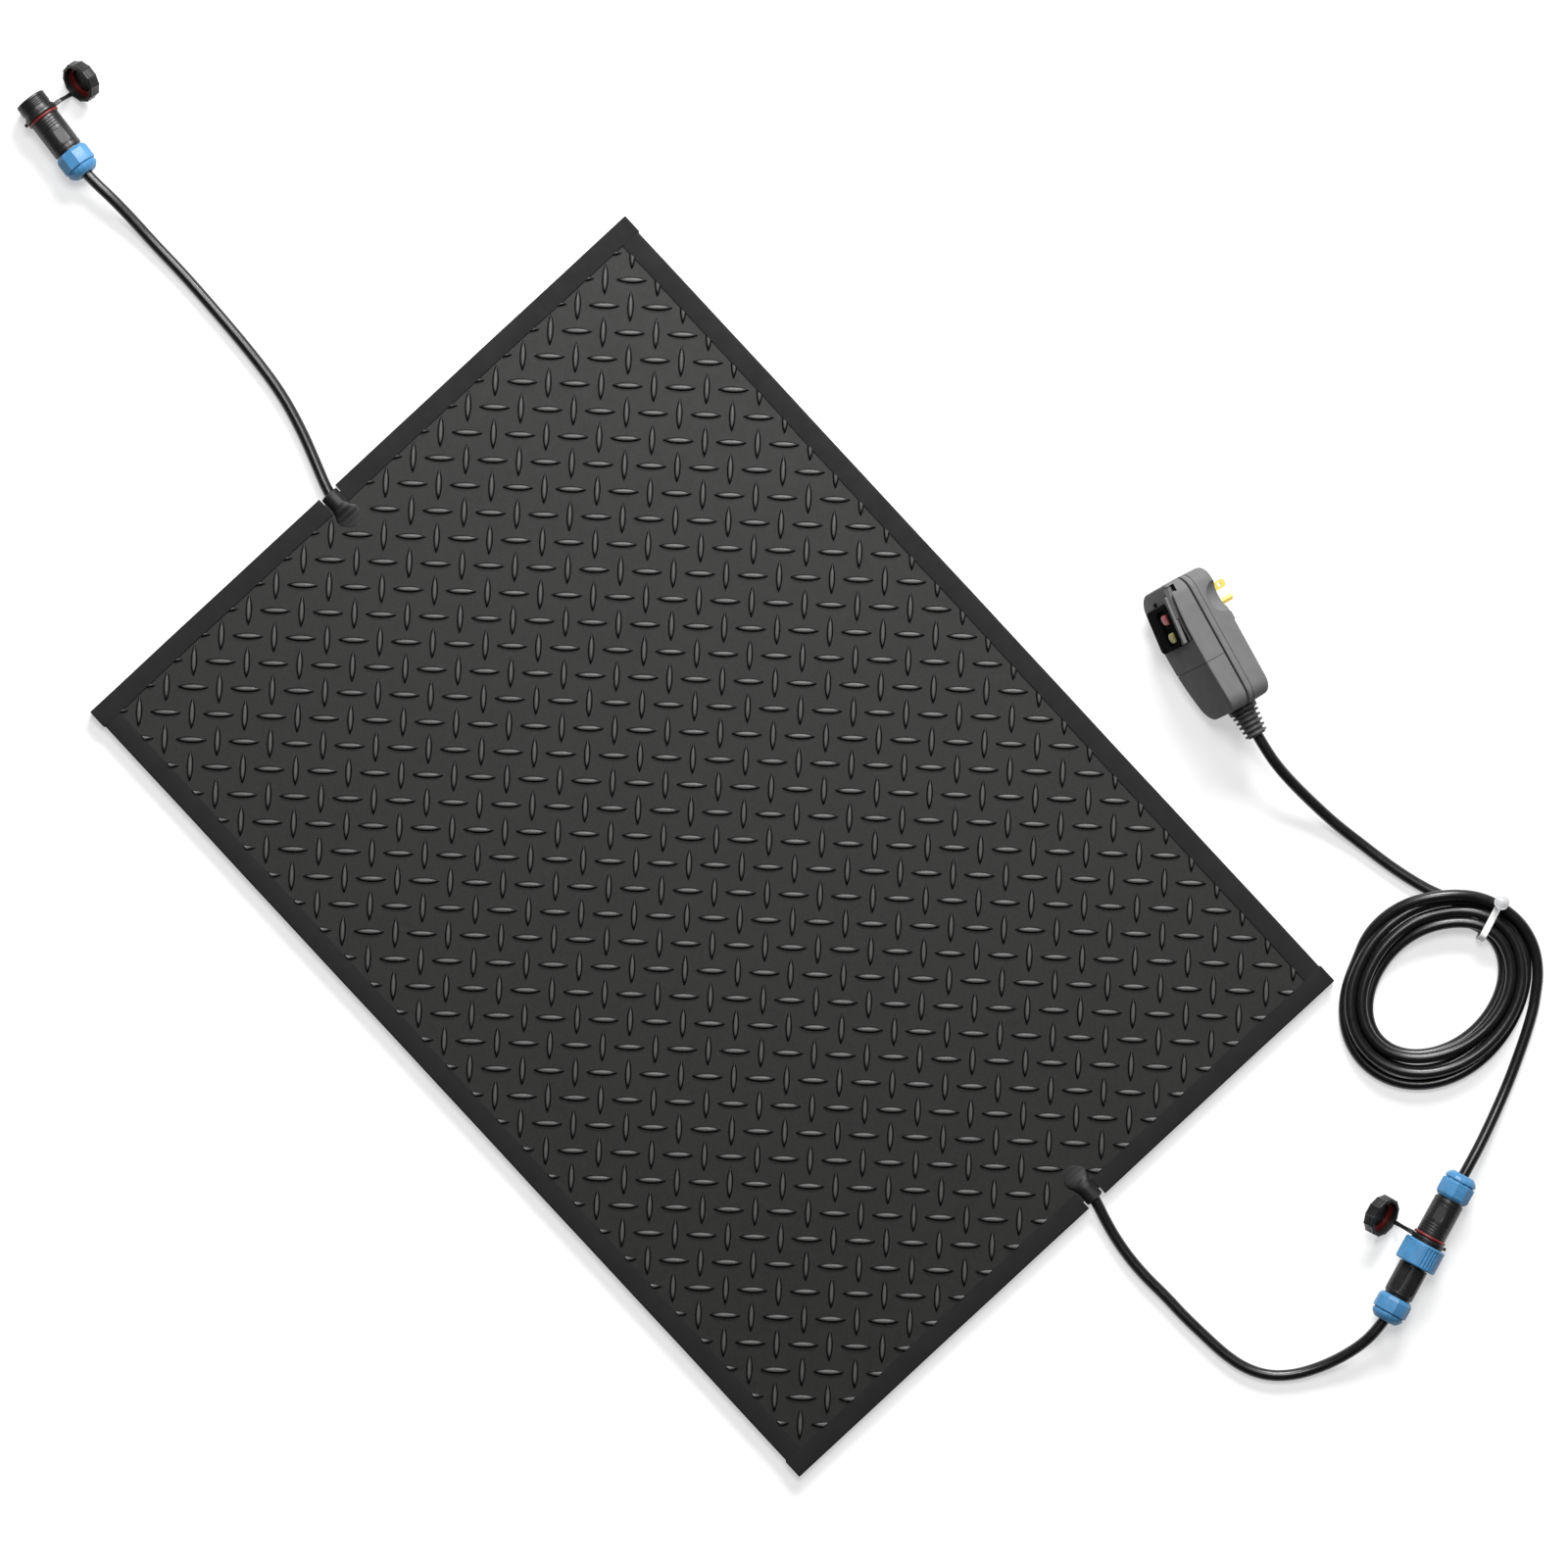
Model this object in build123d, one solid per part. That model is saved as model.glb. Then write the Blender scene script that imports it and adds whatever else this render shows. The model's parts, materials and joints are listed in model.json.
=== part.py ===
from build123d import *
import math
import os

# Heated rubber floor mat with a feed lead and a through lead, each ending in a waterproof
# connector, and a power cord with a ground-fault plug. Millimetres, +Z up. The origin is the
# centre of the mat's underside, and +X runs along the mat towards its feed end.

# Mat
MAT_LENGTH = 762.0
MAT_WIDTH = 533.0
BASE_THICK = 2.0
CORE_THICK = 5.0
TREAD_THICK = 2.0
HEM_WIDTH = 15.0
HEM_THICK = 1.0
END_HEM_THICK = 1.2
SIDE_STEP = 1.0
NOTCH_WIDTH = 16.0
NOTCH_DEPTH = 5.0
SHEET_TOP = BASE_THICK + CORE_THICK + TREAD_THICK
SHEET_HALF_LENGTH = MAT_LENGTH / 2 - HEM_THICK
SHEET_HALF_WIDTH = MAT_WIDTH / 2 - SIDE_STEP - HEM_THICK
HEM_INNER_X = MAT_LENGTH / 2 - HEM_WIDTH
HEM_INNER_Y = SHEET_HALF_WIDTH + HEM_THICK - HEM_WIDTH

# Boots where the leads leave the mat
FEED_EXIT_Y = 30.0
TAIL_EXIT_Y = -30.5
BOOT_SETBACK = 1.5
BOOT_INSIDE = 31.0
BOOT_MOUTH_WIDTH = 14.0
BOOT_ROOT_WIDTH = 24.0
BOOT_TOP = 13.0
CORD_EXIT_Z = 6.3

# Heating circuit
CABLE_D = 4.0
CABLE_CLEARANCE = 0.1
CABLE_Z = BASE_THICK + 0.8 + CABLE_D / 2
LANE_PITCH = 30.0
LANE_COUNT = 17
LANE_HALF_LENGTH = 305.0
LANE_TURN_RADIUS = 12.0
RISER_X = 330.0
END_SEAL = (14.0, 6.0, 4.0)
CUTOUT_SIZE = (13.0, 30.0, 4.2)
CUTOUT_X = 323.5
SPLICE_SIZE = (33.0, 20.0, 4.3)
SPLICE_X = 332.5
RIBBON_WIDTH = 8.0
RIBBON_THICK = 2.4
RIBBON_X = 340.0
RIBBON_Y = -252.0

# Cords
CORD_D = 8.2
CORD_R = CORD_D / 2
FLOOR_Z = CORD_R + 0.1

# Waterproof connectors, measured along the axis from the end of the gland nut
PLAY = 0.1
NUT_LENGTH = 20.5
NUT_R = 13.0
NUT_HOLE_R = 5.2
NUT_CHAMFER = 2.6
SHELL_R = 11.25
STUB_R = 9.0
SEAL_RING_R = 11.4
SEAL_WIRE_R = 1.2
SEAL_START = 50.5
STRAP_RING_START = 53.2
STRAP_RING_END = 56.0
NECK_R = 11.0
FLANGE_R = 12.4
FLANGE_END = 57.2
MOUTH_R = 11.8
MOUTH_END = 68.5
CAVITY_R = 9.4
CAVITY_START = 58.0
STUB_START = 10.0
SEAL_STEP = 5.0
INSERT_R = 8.8
INSERT_START = 40.0
CORE_BORE_R = 6.4
CONTACT_CIRCLE_R = 4.5
CONTACT_R = 1.6
PIN_R = 0.95
CONTACT_ANGLES = (0.0, 120.0, -120.0)

# Mated pair: feed plug, coupling ring and mains socket on one axis
PAIR_LENGTH = 121.0
FEED_NUT_LENGTH = 19.3
FEED_BODY_R = 11.1
FEED_NECK_START = 45.1
FEED_NECK_R = 9.6
FEED_FLANGE = (50.5, 52.3)
FEED_NOSE_END = 62.0
FEED_INSERT_R = 7.6
FEED_INSERT_START = 34.0
PIN_SPAN = (28.0, 69.0)
RING_START = 45.8
RING_END = 63.7
RING_R = 15.75
RING_LIP = (48.3, 49.5)
WASHER = (49.6, 50.4)
RUNNING_GAP = 0.3

# Dust caps
CAP_R = 15.0
CAP_HEIGHT = 9.0
CAP_BASE = 2.6
CAP_BORE_R = 12.3
CAP_SEAL_THICK = 2.2
CAP_SEAL_INNER_R = 9.0
STRAP_WIDTH = 3.6
STRAP_THICK = 1.6
STRAP_STANDOFF = 1.3
STRAP_RUN = 6.0
STRAP_RING_WALL = 1.7
STRAP_RING_HALF = 1.3
STRAP_ROOT = 12.4
LUG_HALF = 1.5
LUG_REACH = 14.6
CAP_FLAT_R = CAP_R * math.cos(math.radians(15.0))
CAP_LIFT = 0.15

# Where the connectors lie: start of the axis, its heading and its height
TAIL_NUT = (-670.1, -1.0)
TAIL_HEADING = 174.6
TAIL_HEIGHT = NUT_R + 0.05
TAIL_CAP_TILT = 53.5
TAIL_CAP_SIDE = 38.1
TAIL_CAP_ALONG = 56.0
FEED_NUT = (586.9, 124.3)
PAIR_HEADING = 108.5
PAIR_HEIGHT = RING_R + 0.05
MAINS_CAP_TILT = 52.0
MAINS_CAP_SIDE = 38.5
MAINS_CAP_ALONG = 54.9

# Coil of the power cord
COIL_CENTRE = (441.0, 316.5)
COIL_OUTER = (63.0, 80.0)
COIL_TURN = 6.0
COIL_HOLE_CENTRE = (436.0, 317.0)
COIL_HOLE = (37.5, 52.0)
COIL_BOTTOM = 1.0
COIL_TOP = 17.6
TIE_CENTRE = (426.1, 379.2)
TIE_HEADING = 109.4
TIE_WIDTH = 5.0
TIE_THICK = 0.8
TIE_SPAN = 30.4
KNOB_R = 5.6
KNOB_REACH = 15.5

# Ground-fault plug: length along X, depth along Y towards the blades, width along Z
PLUG_LENGTH = 104.5
PLUG_WIDTH = 57.0
PLUG_REAR = 20.8
PLUG_FRONT = -17.0
PLUG_BOW_R = 305.0
PLUG_CORNER_R = 12.0
PLUG_EDGE_R = 4.0
PLUG_WALL = 2.2
PLUG_CENTRE = (135.5, 360.6)
PLUG_HEADING = -14.0
PLUG_ROLL = 22.0
PLUG_LIFT = 0.15
GASKET_HALF = 0.5
GASKET_INSET = 0.8
SPLIT_X = 63.8
SPLIT_GAP = 0.2
BOOT_DEPTH = 4.0
PLUG_BOOT_LENGTH = 24.0
PLUG_BOOT_R = (10.5, 7.5)
BEZEL_X = (13.0, 45.0)
BEZEL_HALF_WIDTH = 19.0
BEZEL_PROUD = 4.3
BEZEL_BACK = -11.5
FLANGE_THICK = 1.5
FLANGE_X = (12.6, 47.3)
FLANGE_MARGIN = 2.0
BEZEL_FIT = 0.2
HOOD_THICK = 2.0
HOOD_SETBACK = 0.6
RESET_X = 23.0
TEST_X = 37.0
BUTTON_Z = 5.5
BUTTON_SIZE = (8.0, 11.0)
DISH_WIDTH = 18.0
BUTTON_TRAVEL = 1.2
BLADE_X = 19.0
BLADE_SPACING = 12.7
BLADE_SIZE = (6.35, 1.5)
BLADE_LENGTH = 16.5
EARTH_X = BLADE_X + 11.9
EARTH_R = 2.4
EARTH_LENGTH = 20.0
SCOOP_X = 25.8
SCOOP_R = 13.0
SCOOP_DEPTH = 6.0
SCOOP_BALL_R = (SCOOP_R**2 + SCOOP_DEPTH**2) / (2 * SCOOP_DEPTH)
SCREW_SPOTS = [(9.0, 19.5), (9.0, -19.5), (95.5, 19.5), (95.5, -19.5)]
SCREW_R = 1.5
SCREW_HEAD_R = 2.75
SCREW_TIP = -10.0
SCREW_SEAT = 16.0
BOSS_R = 3.4
CONTACT_DEPTH = 5.0


def slab(x0, x1, y0, y1, z0, z1):
    """A box between two corners."""
    centre = Pos((x0 + x1) / 2, (y0 + y1) / 2, (z0 + z1) / 2)
    return centre * Box(abs(x1 - x0), abs(y1 - y0), abs(z1 - z0))


def rod(radius, start, end, x=0.0, y=0.0):
    """A cylinder along local Z."""
    return Pos(x, y, (start + end) / 2) * Cylinder(radius, end - start)


def tube(outer, inner, start, end, x=0.0, y=0.0):
    """A hollow cylinder along local Z."""
    return rod(outer, start, end, x, y) - rod(inner, start, end, x, y)


def axis_frame(point, heading, height):
    """A frame whose Z runs along a level axis and whose X is up."""
    angle = math.radians(heading)
    along = (math.cos(angle), math.sin(angle), 0)
    return Plane(origin=(*point, height), x_dir=(0, 0, 1), z_dir=along)


TAIL_FRAME = axis_frame(TAIL_NUT, TAIL_HEADING, TAIL_HEIGHT)
FEED_FRAME = axis_frame(FEED_NUT, PAIR_HEADING, PAIR_HEIGHT)
MAINS_NUT = tuple(FEED_FRAME.from_local_coords((0, 0, PAIR_LENGTH)))[:2]
MAINS_FRAME = axis_frame(MAINS_NUT, PAIR_HEADING - 180.0, PAIR_HEIGHT)


def plug_frame():
    """The plug's frame: it lies on a long edge, rolled so that its front looks partly up."""
    heading = math.radians(PLUG_HEADING)
    roll = math.radians(PLUG_ROLL)
    along = (math.cos(heading), math.sin(heading), 0)
    lean = math.sin(roll)
    side = (-math.sin(heading) * lean, math.cos(heading) * lean, math.cos(roll))
    reach = (PLUG_REAR - PLUG_EDGE_R) * math.sin(roll)
    reach += (PLUG_WIDTH / 2 - PLUG_EDGE_R) * math.cos(roll) + PLUG_EDGE_R
    start_x = PLUG_CENTRE[0] - PLUG_LENGTH / 2 * along[0]
    start_y = PLUG_CENTRE[1] - PLUG_LENGTH / 2 * along[1]
    return Plane(origin=(start_x, start_y, reach + PLUG_LIFT), x_dir=along, z_dir=side)


PLUG_FRAME = plug_frame()


# Mat

def sheet(z0, z1):
    """One layer of the mat, notched at both leads."""
    layer = slab(-SHEET_HALF_LENGTH, SHEET_HALF_LENGTH, -SHEET_HALF_WIDTH, SHEET_HALF_WIDTH, z0, z1)
    half = NOTCH_WIDTH / 2
    for end, y in ((1, FEED_EXIT_Y), (-1, TAIL_EXIT_Y)):
        notch_x = end * (SHEET_HALF_LENGTH - NOTCH_DEPTH)
        layer -= slab(notch_x, end * SHEET_HALF_LENGTH, y - half, y + half, z0, z1)
    return layer


def boot(end, y):
    """A moulded sleeve round the lead that widens into a low hump inside the mat's edge."""
    mouth_x = end * (MAT_LENGTH / 2 - BOOT_SETBACK)
    neck_x = end * HEM_INNER_X
    root_x = end * (MAT_LENGTH / 2 - BOOT_INSIDE)
    mouth_r = BOOT_MOUTH_WIDTH / 2
    axis_z = BOOT_TOP - mouth_r
    middle_x = (mouth_x + neck_x) / 2
    sleeve = Pos(middle_x, y, axis_z) * Rot(Y=90) * Cylinder(mouth_r, abs(mouth_x - neck_x))
    sleeve &= slab(mouth_x, neck_x, y - mouth_r, y + mouth_r, axis_z, BOOT_TOP)
    sleeve += slab(mouth_x, neck_x, y - mouth_r, y + mouth_r, BASE_THICK, axis_z)
    root_r = BOOT_ROOT_WIDTH / 2
    skirt = slab(neck_x, root_x, y - root_r, y + root_r, BASE_THICK, SHEET_TOP)
    crown = Pos(neck_x, y, SHEET_TOP) * Sphere(root_r - 4.0)
    crown &= slab(neck_x, root_x, y - root_r, y + root_r, SHEET_TOP - 1.0, BOOT_TOP)
    return sleeve + skirt + crown


FEED_BOOT = boot(1, FEED_EXIT_Y)
TAIL_BOOT = boot(-1, TAIL_EXIT_Y)


def heating_route():
    """Up from the feed splice, then to and fro across the mat."""
    points = [(RISER_X, FEED_EXIT_Y + SPLICE_SIZE[1] / 2)]
    top_y = LANE_PITCH * (LANE_COUNT - 1) / 2
    points.append((RISER_X, top_y))
    side = -1
    for lane in range(LANE_COUNT - 1):
        y = top_y - lane * LANE_PITCH
        points.append((side * LANE_HALF_LENGTH, y))
        points.append((side * LANE_HALF_LENGTH, y - LANE_PITCH))
        side = -side
    points.append((side * (LANE_HALF_LENGTH - LANE_TURN_RADIUS), -top_y))
    return FilletPolyline(*[(x, y, CABLE_Z) for x, y in points], radius=LANE_TURN_RADIUS)


HEATING_ROUTE = heating_route()


def along_route(route, profile):
    start = Plane(origin=route @ 0, z_dir=route % 0)
    return sweep(start * profile, path=route)


def heating_cable():
    return along_route(HEATING_ROUTE, Circle(CABLE_D / 2))


def cable_end_seal():
    end = HEATING_ROUTE @ 1
    direction = 1 if (HEATING_ROUTE % 1).X > 0 else -1
    x1 = end.X + direction * END_SEAL[0]
    half_y, half_z = END_SEAL[1] / 2, END_SEAL[2] / 2
    return slab(end.X, x1, end.Y - half_y, end.Y + half_y, CABLE_Z - half_z, CABLE_Z + half_z)


def splice_spots():
    return [(SPLICE_X, FEED_EXIT_Y), (-SPLICE_X, TAIL_EXIT_Y)]


def splice_blocks(grow=0.0):
    low = BASE_THICK + 0.5
    half_x = SPLICE_SIZE[0] / 2 + grow
    half_y = SPLICE_SIZE[1] / 2 + grow
    blocks = [
        slab(x - half_x, x + half_x, y - half_y, y + half_y, low, low + SPLICE_SIZE[2] + grow)
        for x, y in splice_spots()
    ]
    return Part(children=[]) + blocks


def through_ribbon(grow=0.0):
    """Flat pair that joins the feed splice to the tail splice round the mat's edge."""
    half = RIBBON_WIDTH / 2 + grow
    low = BASE_THICK + 0.6 - grow
    high = BASE_THICK + 0.6 + RIBBON_THICK + grow
    feed_y = FEED_EXIT_Y - SPLICE_SIZE[1] / 2
    tail_y = TAIL_EXIT_Y - SPLICE_SIZE[1] / 2
    ribbon = slab(RIBBON_X - half, RIBBON_X + half, RIBBON_Y - half, feed_y, low, high)
    ribbon += slab(-RIBBON_X - half, RIBBON_X + half, RIBBON_Y - half, RIBBON_Y + half, low, high)
    return ribbon + slab(-RIBBON_X - half, -RIBBON_X + half, RIBBON_Y - half, tail_y, low, high)


def thermal_cutout(grow=0.0):
    y1 = FEED_EXIT_Y - SPLICE_SIZE[1] / 2
    half_x = CUTOUT_SIZE[0] / 2 + grow
    low = BASE_THICK + 0.5
    high = low + CUTOUT_SIZE[2] + grow
    return slab(CUTOUT_X - half_x, CUTOUT_X + half_x, y1 - CUTOUT_SIZE[1] - grow, y1, low, high)


def cable_groove():
    """Square groove along the heating circuit, open at the top of the core."""
    top = BASE_THICK + CORE_THICK
    lifted = Pos(0, 0, top - CABLE_Z) * HEATING_ROUTE
    start = Plane(origin=lifted @ 0, x_dir=(1, 0, 0), z_dir=(0, 1, 0))
    profile = Rectangle(CABLE_D + 2 * CABLE_CLEARANCE, 2 * (CORE_THICK - 0.7))
    return sweep(start * profile, path=lifted)


def core_layer():
    """Foam core with open-topped grooves and pockets for the heating circuit."""
    core = sheet(BASE_THICK, BASE_THICK + CORE_THICK)
    top = BASE_THICK + CORE_THICK
    core -= cable_groove()
    end = HEATING_ROUTE @ 1
    direction = 1 if (HEATING_ROUTE % 1).X > 0 else -1
    x0, x1 = end.X - direction, end.X + direction * (END_SEAL[0] + 0.5)
    half = END_SEAL[1] / 2 + 0.3
    core -= slab(x0, x1, end.Y - half, end.Y + half, CABLE_Z - END_SEAL[2] / 2 - 0.2, top)
    core -= splice_blocks(0.2)
    half_x, half_y = SPLICE_SIZE[0] / 2 + 0.2, SPLICE_SIZE[1] / 2 + 0.2
    for x, y in splice_spots():
        core -= slab(x - half_x, x + half_x, y - half_y, y + half_y, BASE_THICK + 3, top)
    core -= through_ribbon(0.2)
    core -= thermal_cutout(0.2)
    return core - FEED_BOOT - TAIL_BOOT


def base_sheet():
    """Bottom rubber sheet, rebated all round for the hems' lower lips."""
    bottom = sheet(0, BASE_THICK)
    keep = slab(-HEM_INNER_X, HEM_INNER_X, -HEM_INNER_Y, HEM_INNER_Y, 0, HEM_THICK)
    bottom -= sheet(0, HEM_THICK) - keep
    bottom -= FEED_BOOT
    return bottom - TAIL_BOOT


def tread_sheet():
    return sheet(SHEET_TOP - TREAD_THICK, SHEET_TOP) - FEED_BOOT - TAIL_BOOT


def long_hems():
    """Strips folded round the long edges, between the end hems."""
    outer = SHEET_HALF_WIDTH + HEM_THICK
    strips = []
    for side in (1, -1):
        strip = slab(
            -HEM_INNER_X, HEM_INNER_X, side * HEM_INNER_Y, side * outer, 0, SHEET_TOP + HEM_THICK
        )
        strip -= slab(
            -HEM_INNER_X, HEM_INNER_X, side * HEM_INNER_Y, side * SHEET_HALF_WIDTH, HEM_THICK, SHEET_TOP
        )
        strips.append(strip)
    return Part(children=[]) + strips


def end_hem(end, exit_y):
    """Two strips folded round a short edge, one each side of the lead's notch."""
    pieces = []
    outer_x = end * MAT_LENGTH / 2
    for side in (1, -1):
        y0 = exit_y + side * NOTCH_WIDTH / 2
        y1 = side * MAT_WIDTH / 2
        inner_y = side * SHEET_HALF_WIDTH
        piece = slab(end * HEM_INNER_X, outer_x, y0, y1, 0, SHEET_TOP + END_HEM_THICK)
        piece -= slab(end * HEM_INNER_X, end * SHEET_HALF_LENGTH, y0, inner_y, HEM_THICK, SHEET_TOP)
        pieces.append(piece)
    return Part(children=[]) + pieces


# Waterproof connectors

def gland_nut(length):
    """Nut that squeezes the gland seal onto the cord."""
    nut = rod(NUT_R, 0, length)
    nut = chamfer(nut.edges().group_by(Axis.Z)[0], NUT_CHAMFER)
    nut -= rod(NUT_HOLE_R, 0, SEAL_STEP)
    return nut - rod(STUB_R + PLAY, SEAL_STEP, length)


def gland_seal():
    return rod(NUT_HOLE_R, 0.4, SEAL_STEP) + rod(STUB_R - PLAY, SEAL_STEP, STUB_START - 0.2)


def contact_spots():
    return [
        (CONTACT_CIRCLE_R * math.cos(math.radians(a)), CONTACT_CIRCLE_R * math.sin(math.radians(a)))
        for a in CONTACT_ANGLES
    ]


def socket_body():
    """Shell of a cable socket: cord end, seal groove, strap neck, flange and threaded mouth."""
    body = rod(STUB_R, STUB_START, NUT_LENGTH) + rod(SHELL_R, NUT_LENGTH, SEAL_START)
    body += rod(SEAL_RING_R - SEAL_WIRE_R, SEAL_START, STRAP_RING_START)
    body += rod(NECK_R, STRAP_RING_START, STRAP_RING_END)
    body += rod(FLANGE_R, STRAP_RING_END, FLANGE_END)
    body += rod(MOUTH_R, FLANGE_END, MOUTH_END)
    body -= rod(CORE_BORE_R, STUB_START, INSERT_START)
    body -= rod(INSERT_R, INSERT_START, CAVITY_START)
    return body - rod(CAVITY_R, CAVITY_START, MOUTH_END)


def socket_insert():
    insert = rod(INSERT_R, INSERT_START, CAVITY_START)
    for x, y in contact_spots():
        insert -= rod(CONTACT_R, INSERT_START, CAVITY_START, x, y)
    return insert


def socket_contacts():
    contacts = [
        rod(CONTACT_R, INSERT_START - 6, CAVITY_START - 0.2, x, y)
        - rod(PIN_R + PLAY, INSERT_START + 4, CAVITY_START, x, y)
        for x, y in contact_spots()
    ]
    return Part(children=[]) + contacts


def seal_ring():
    return Pos(0, 0, SEAL_START + SEAL_WIRE_R + 0.05) * Torus(SEAL_RING_R, SEAL_WIRE_R)


def cap_middle(height, tilt, side, along):
    """Middle of a cap that rests on the lower edge of its base, in the connector's frame."""
    angle = math.radians(tilt)
    middle_z = CAP_LIFT + CAP_HEIGHT / 2 * math.cos(angle) + CAP_FLAT_R * math.sin(angle)
    return (middle_z - height, side, along)


def cap_plane(height, tilt, side, along):
    angle = math.radians(tilt)
    mouth = (math.cos(angle), -math.sin(angle), 0)
    return Plane(origin=cap_middle(height, tilt, side, along), x_dir=(0, 0, 1), z_dir=mouth)


def flex_point(height, tilt, side, along):
    """Where the strap ends beside the cap's skirt, in the connector's frame."""
    middle = cap_middle(height, tilt, side, along)
    angle = math.radians(tilt)
    reach = CAP_FLAT_R + STRAP_STANDOFF
    strap_along = (STRAP_RING_START + STRAP_RING_END) / 2
    return (middle[0] - reach * math.sin(angle), middle[1] - reach * math.cos(angle), strap_along)


def dust_cap(height, tilt, side, along):
    cup = Pos(0, 0, -CAP_HEIGHT / 2) * extrude(RegularPolygon(CAP_R, 12, rotation=15), CAP_HEIGHT)
    cup -= rod(CAP_BORE_R, -CAP_HEIGHT / 2 + CAP_BASE, CAP_HEIGHT / 2)
    return cap_plane(height, tilt, side, along) * cup


def cap_seal(height, tilt, side, along):
    low = -CAP_HEIGHT / 2 + CAP_BASE
    seal = tube(CAP_BORE_R - 0.05, CAP_SEAL_INNER_R, low, low + CAP_SEAL_THICK)
    return cap_plane(height, tilt, side, along) * seal


def cap_strap(height, tilt, side, along):
    """Ring round the connector's neck and the flat strap that holds the cap."""
    inner = NECK_R + RUNNING_GAP
    ring = tube(inner + STRAP_RING_WALL, inner, STRAP_RING_START + PLAY, STRAP_RING_END - PLAY)
    middle = (STRAP_RING_START + STRAP_RING_END) / 2
    low, high = middle - STRAP_RING_HALF, middle + STRAP_RING_HALF
    ring += slab(-LUG_HALF, LUG_HALF, -LUG_REACH, -STRAP_ROOT, low, high)
    end = flex_point(height, tilt, side, along)
    angle = math.radians(tilt)
    bend = (end[0] + STRAP_RUN * math.cos(angle), end[1] - STRAP_RUN * math.sin(angle))
    ring += slab(-STRAP_THICK / 2, STRAP_THICK / 2, STRAP_ROOT + 0.2, STRAP_ROOT + 2.0, low, high)
    start = (0, STRAP_ROOT + 1.4)
    route = FilletPolyline(start, (-0.5, 17.0), bend, (end[0], end[1]), radius=3.0)
    flat = make_face(offset(route, amount=STRAP_THICK / 2, side=Side.BOTH))
    strap = Pos(0, 0, middle - STRAP_WIDTH / 2) * extrude(flat, STRAP_WIDTH)
    return ring + strap


def feed_plug_body():
    """Shell of the feed plug: cord end, grip, neck for the coupling ring, flange and nose."""
    body = rod(STUB_R, STUB_START, FEED_NUT_LENGTH) + rod(FEED_BODY_R, FEED_NUT_LENGTH, FEED_NECK_START)
    body += rod(FEED_NECK_R, FEED_NECK_START, FEED_FLANGE[0]) + rod(MOUTH_R, *FEED_FLANGE)
    body += rod(STUB_R, FEED_FLANGE[1], FEED_NOSE_END)
    body -= rod(CORE_BORE_R, STUB_START, FEED_INSERT_START)
    return body - rod(FEED_INSERT_R, FEED_INSERT_START, FEED_NOSE_END)


def feed_insert():
    insert = rod(FEED_INSERT_R, FEED_INSERT_START, FEED_NOSE_END - 1)
    for x, y in contact_spots():
        insert -= rod(PIN_R, FEED_INSERT_START, FEED_NOSE_END - 1, x, y)
    return insert


def feed_pins():
    return Part(children=[]) + [rod(PIN_R, *PIN_SPAN, x, y) for x, y in contact_spots()]


def slip_washer():
    return tube(MOUTH_R, FEED_NECK_R + RUNNING_GAP, *WASHER)


def coupling_ring():
    """Captive nut that screws the feed plug to the mains socket."""
    ring = rod(RING_R, RING_START, RING_END)
    ring = chamfer(ring.edges().group_by(Axis.Z)[0], 1.0)
    ring -= rod(FEED_BODY_R + RUNNING_GAP, RING_START, RING_LIP[0])
    ring -= rod(FEED_NECK_R + RUNNING_GAP, *RING_LIP)
    return ring - rod(MOUTH_R + RUNNING_GAP, RING_LIP[1], RING_END)


# Cords. Each route is the line of the cord's centre.

TAIL_LEAD = [
    (-369.5, -32.2, 6.4), (-382.5, -29.2, CORD_EXIT_Z), (-399.0, -23.2, 5.2), (-426.0, -13.6, 4.3),
    (-457.5, -5.6, 4.2), (-493.5, -2.0, FLOOR_Z), (-530.8, -0.2, FLOOR_Z), (-568.8, 0.9, 4.3),
    (-600.0, 0.4, 5.2), (-624.0, 0.9, 8.0), (-645.0, 0.5, 11.4), (-660.0, -0.7, 12.8),
    (-672.5, -0.8, TAIL_HEIGHT),
]
FEED_LEAD = [
    (370.5, 31.6, 6.4), (382.0, 29.0, CORD_EXIT_Z), (394.5, 25.2, 5.2), (410.0, 21.4, 4.3),
    (428.0, 18.9, FLOOR_Z), (447.0, 18.2, FLOOR_Z), (466.0, 19.3, FLOOR_Z), (486.0, 19.2, FLOOR_Z),
    (506.0, 20.4, FLOOR_Z), (525.5, 21.8, FLOOR_Z), (543.5, 25.6, FLOOR_Z), (559.5, 34.0, FLOOR_Z),
    (571.8, 47.6, 4.4), (580.4, 64.5, 5.6), (586.0, 82.0, 8.6), (588.9, 99.6, 12.6), (588.6, 114.0, 15.2),
    (586.2, 126.4, PAIR_HEIGHT),
]
POWER_LEAD = [
    (549.2, 236.9, PAIR_HEIGHT), (545.4, 248.6, 15.0), (540.6, 263.5, 12.4), (534.4, 280.4, 8.4),
    (527.6, 297.4, 5.3), (520.4, 313.4, 4.3), (512.6, 328.9, FLOOR_Z), (504.6, 344.0, FLOOR_Z),
    (495.8, 358.6, FLOOR_Z), (485.0, 372.4, FLOOR_Z),
]
POWER_TAIL = [
    (394.0, 368.6, FLOOR_Z), (379.5, 362.2, FLOOR_Z), (362.0, 356.9, FLOOR_Z), (342.0, 352.4, 4.3),
    (320.0, 348.8, 4.9), (298.0, 345.0, 7.4), (276.5, 343.0, 12.4), (256.0, 341.6, 19.2),
    (237.5, 341.5, 25.6), (222.0, 343.4, 30.1), (207.4, 346.6, 31.5),
]


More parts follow.
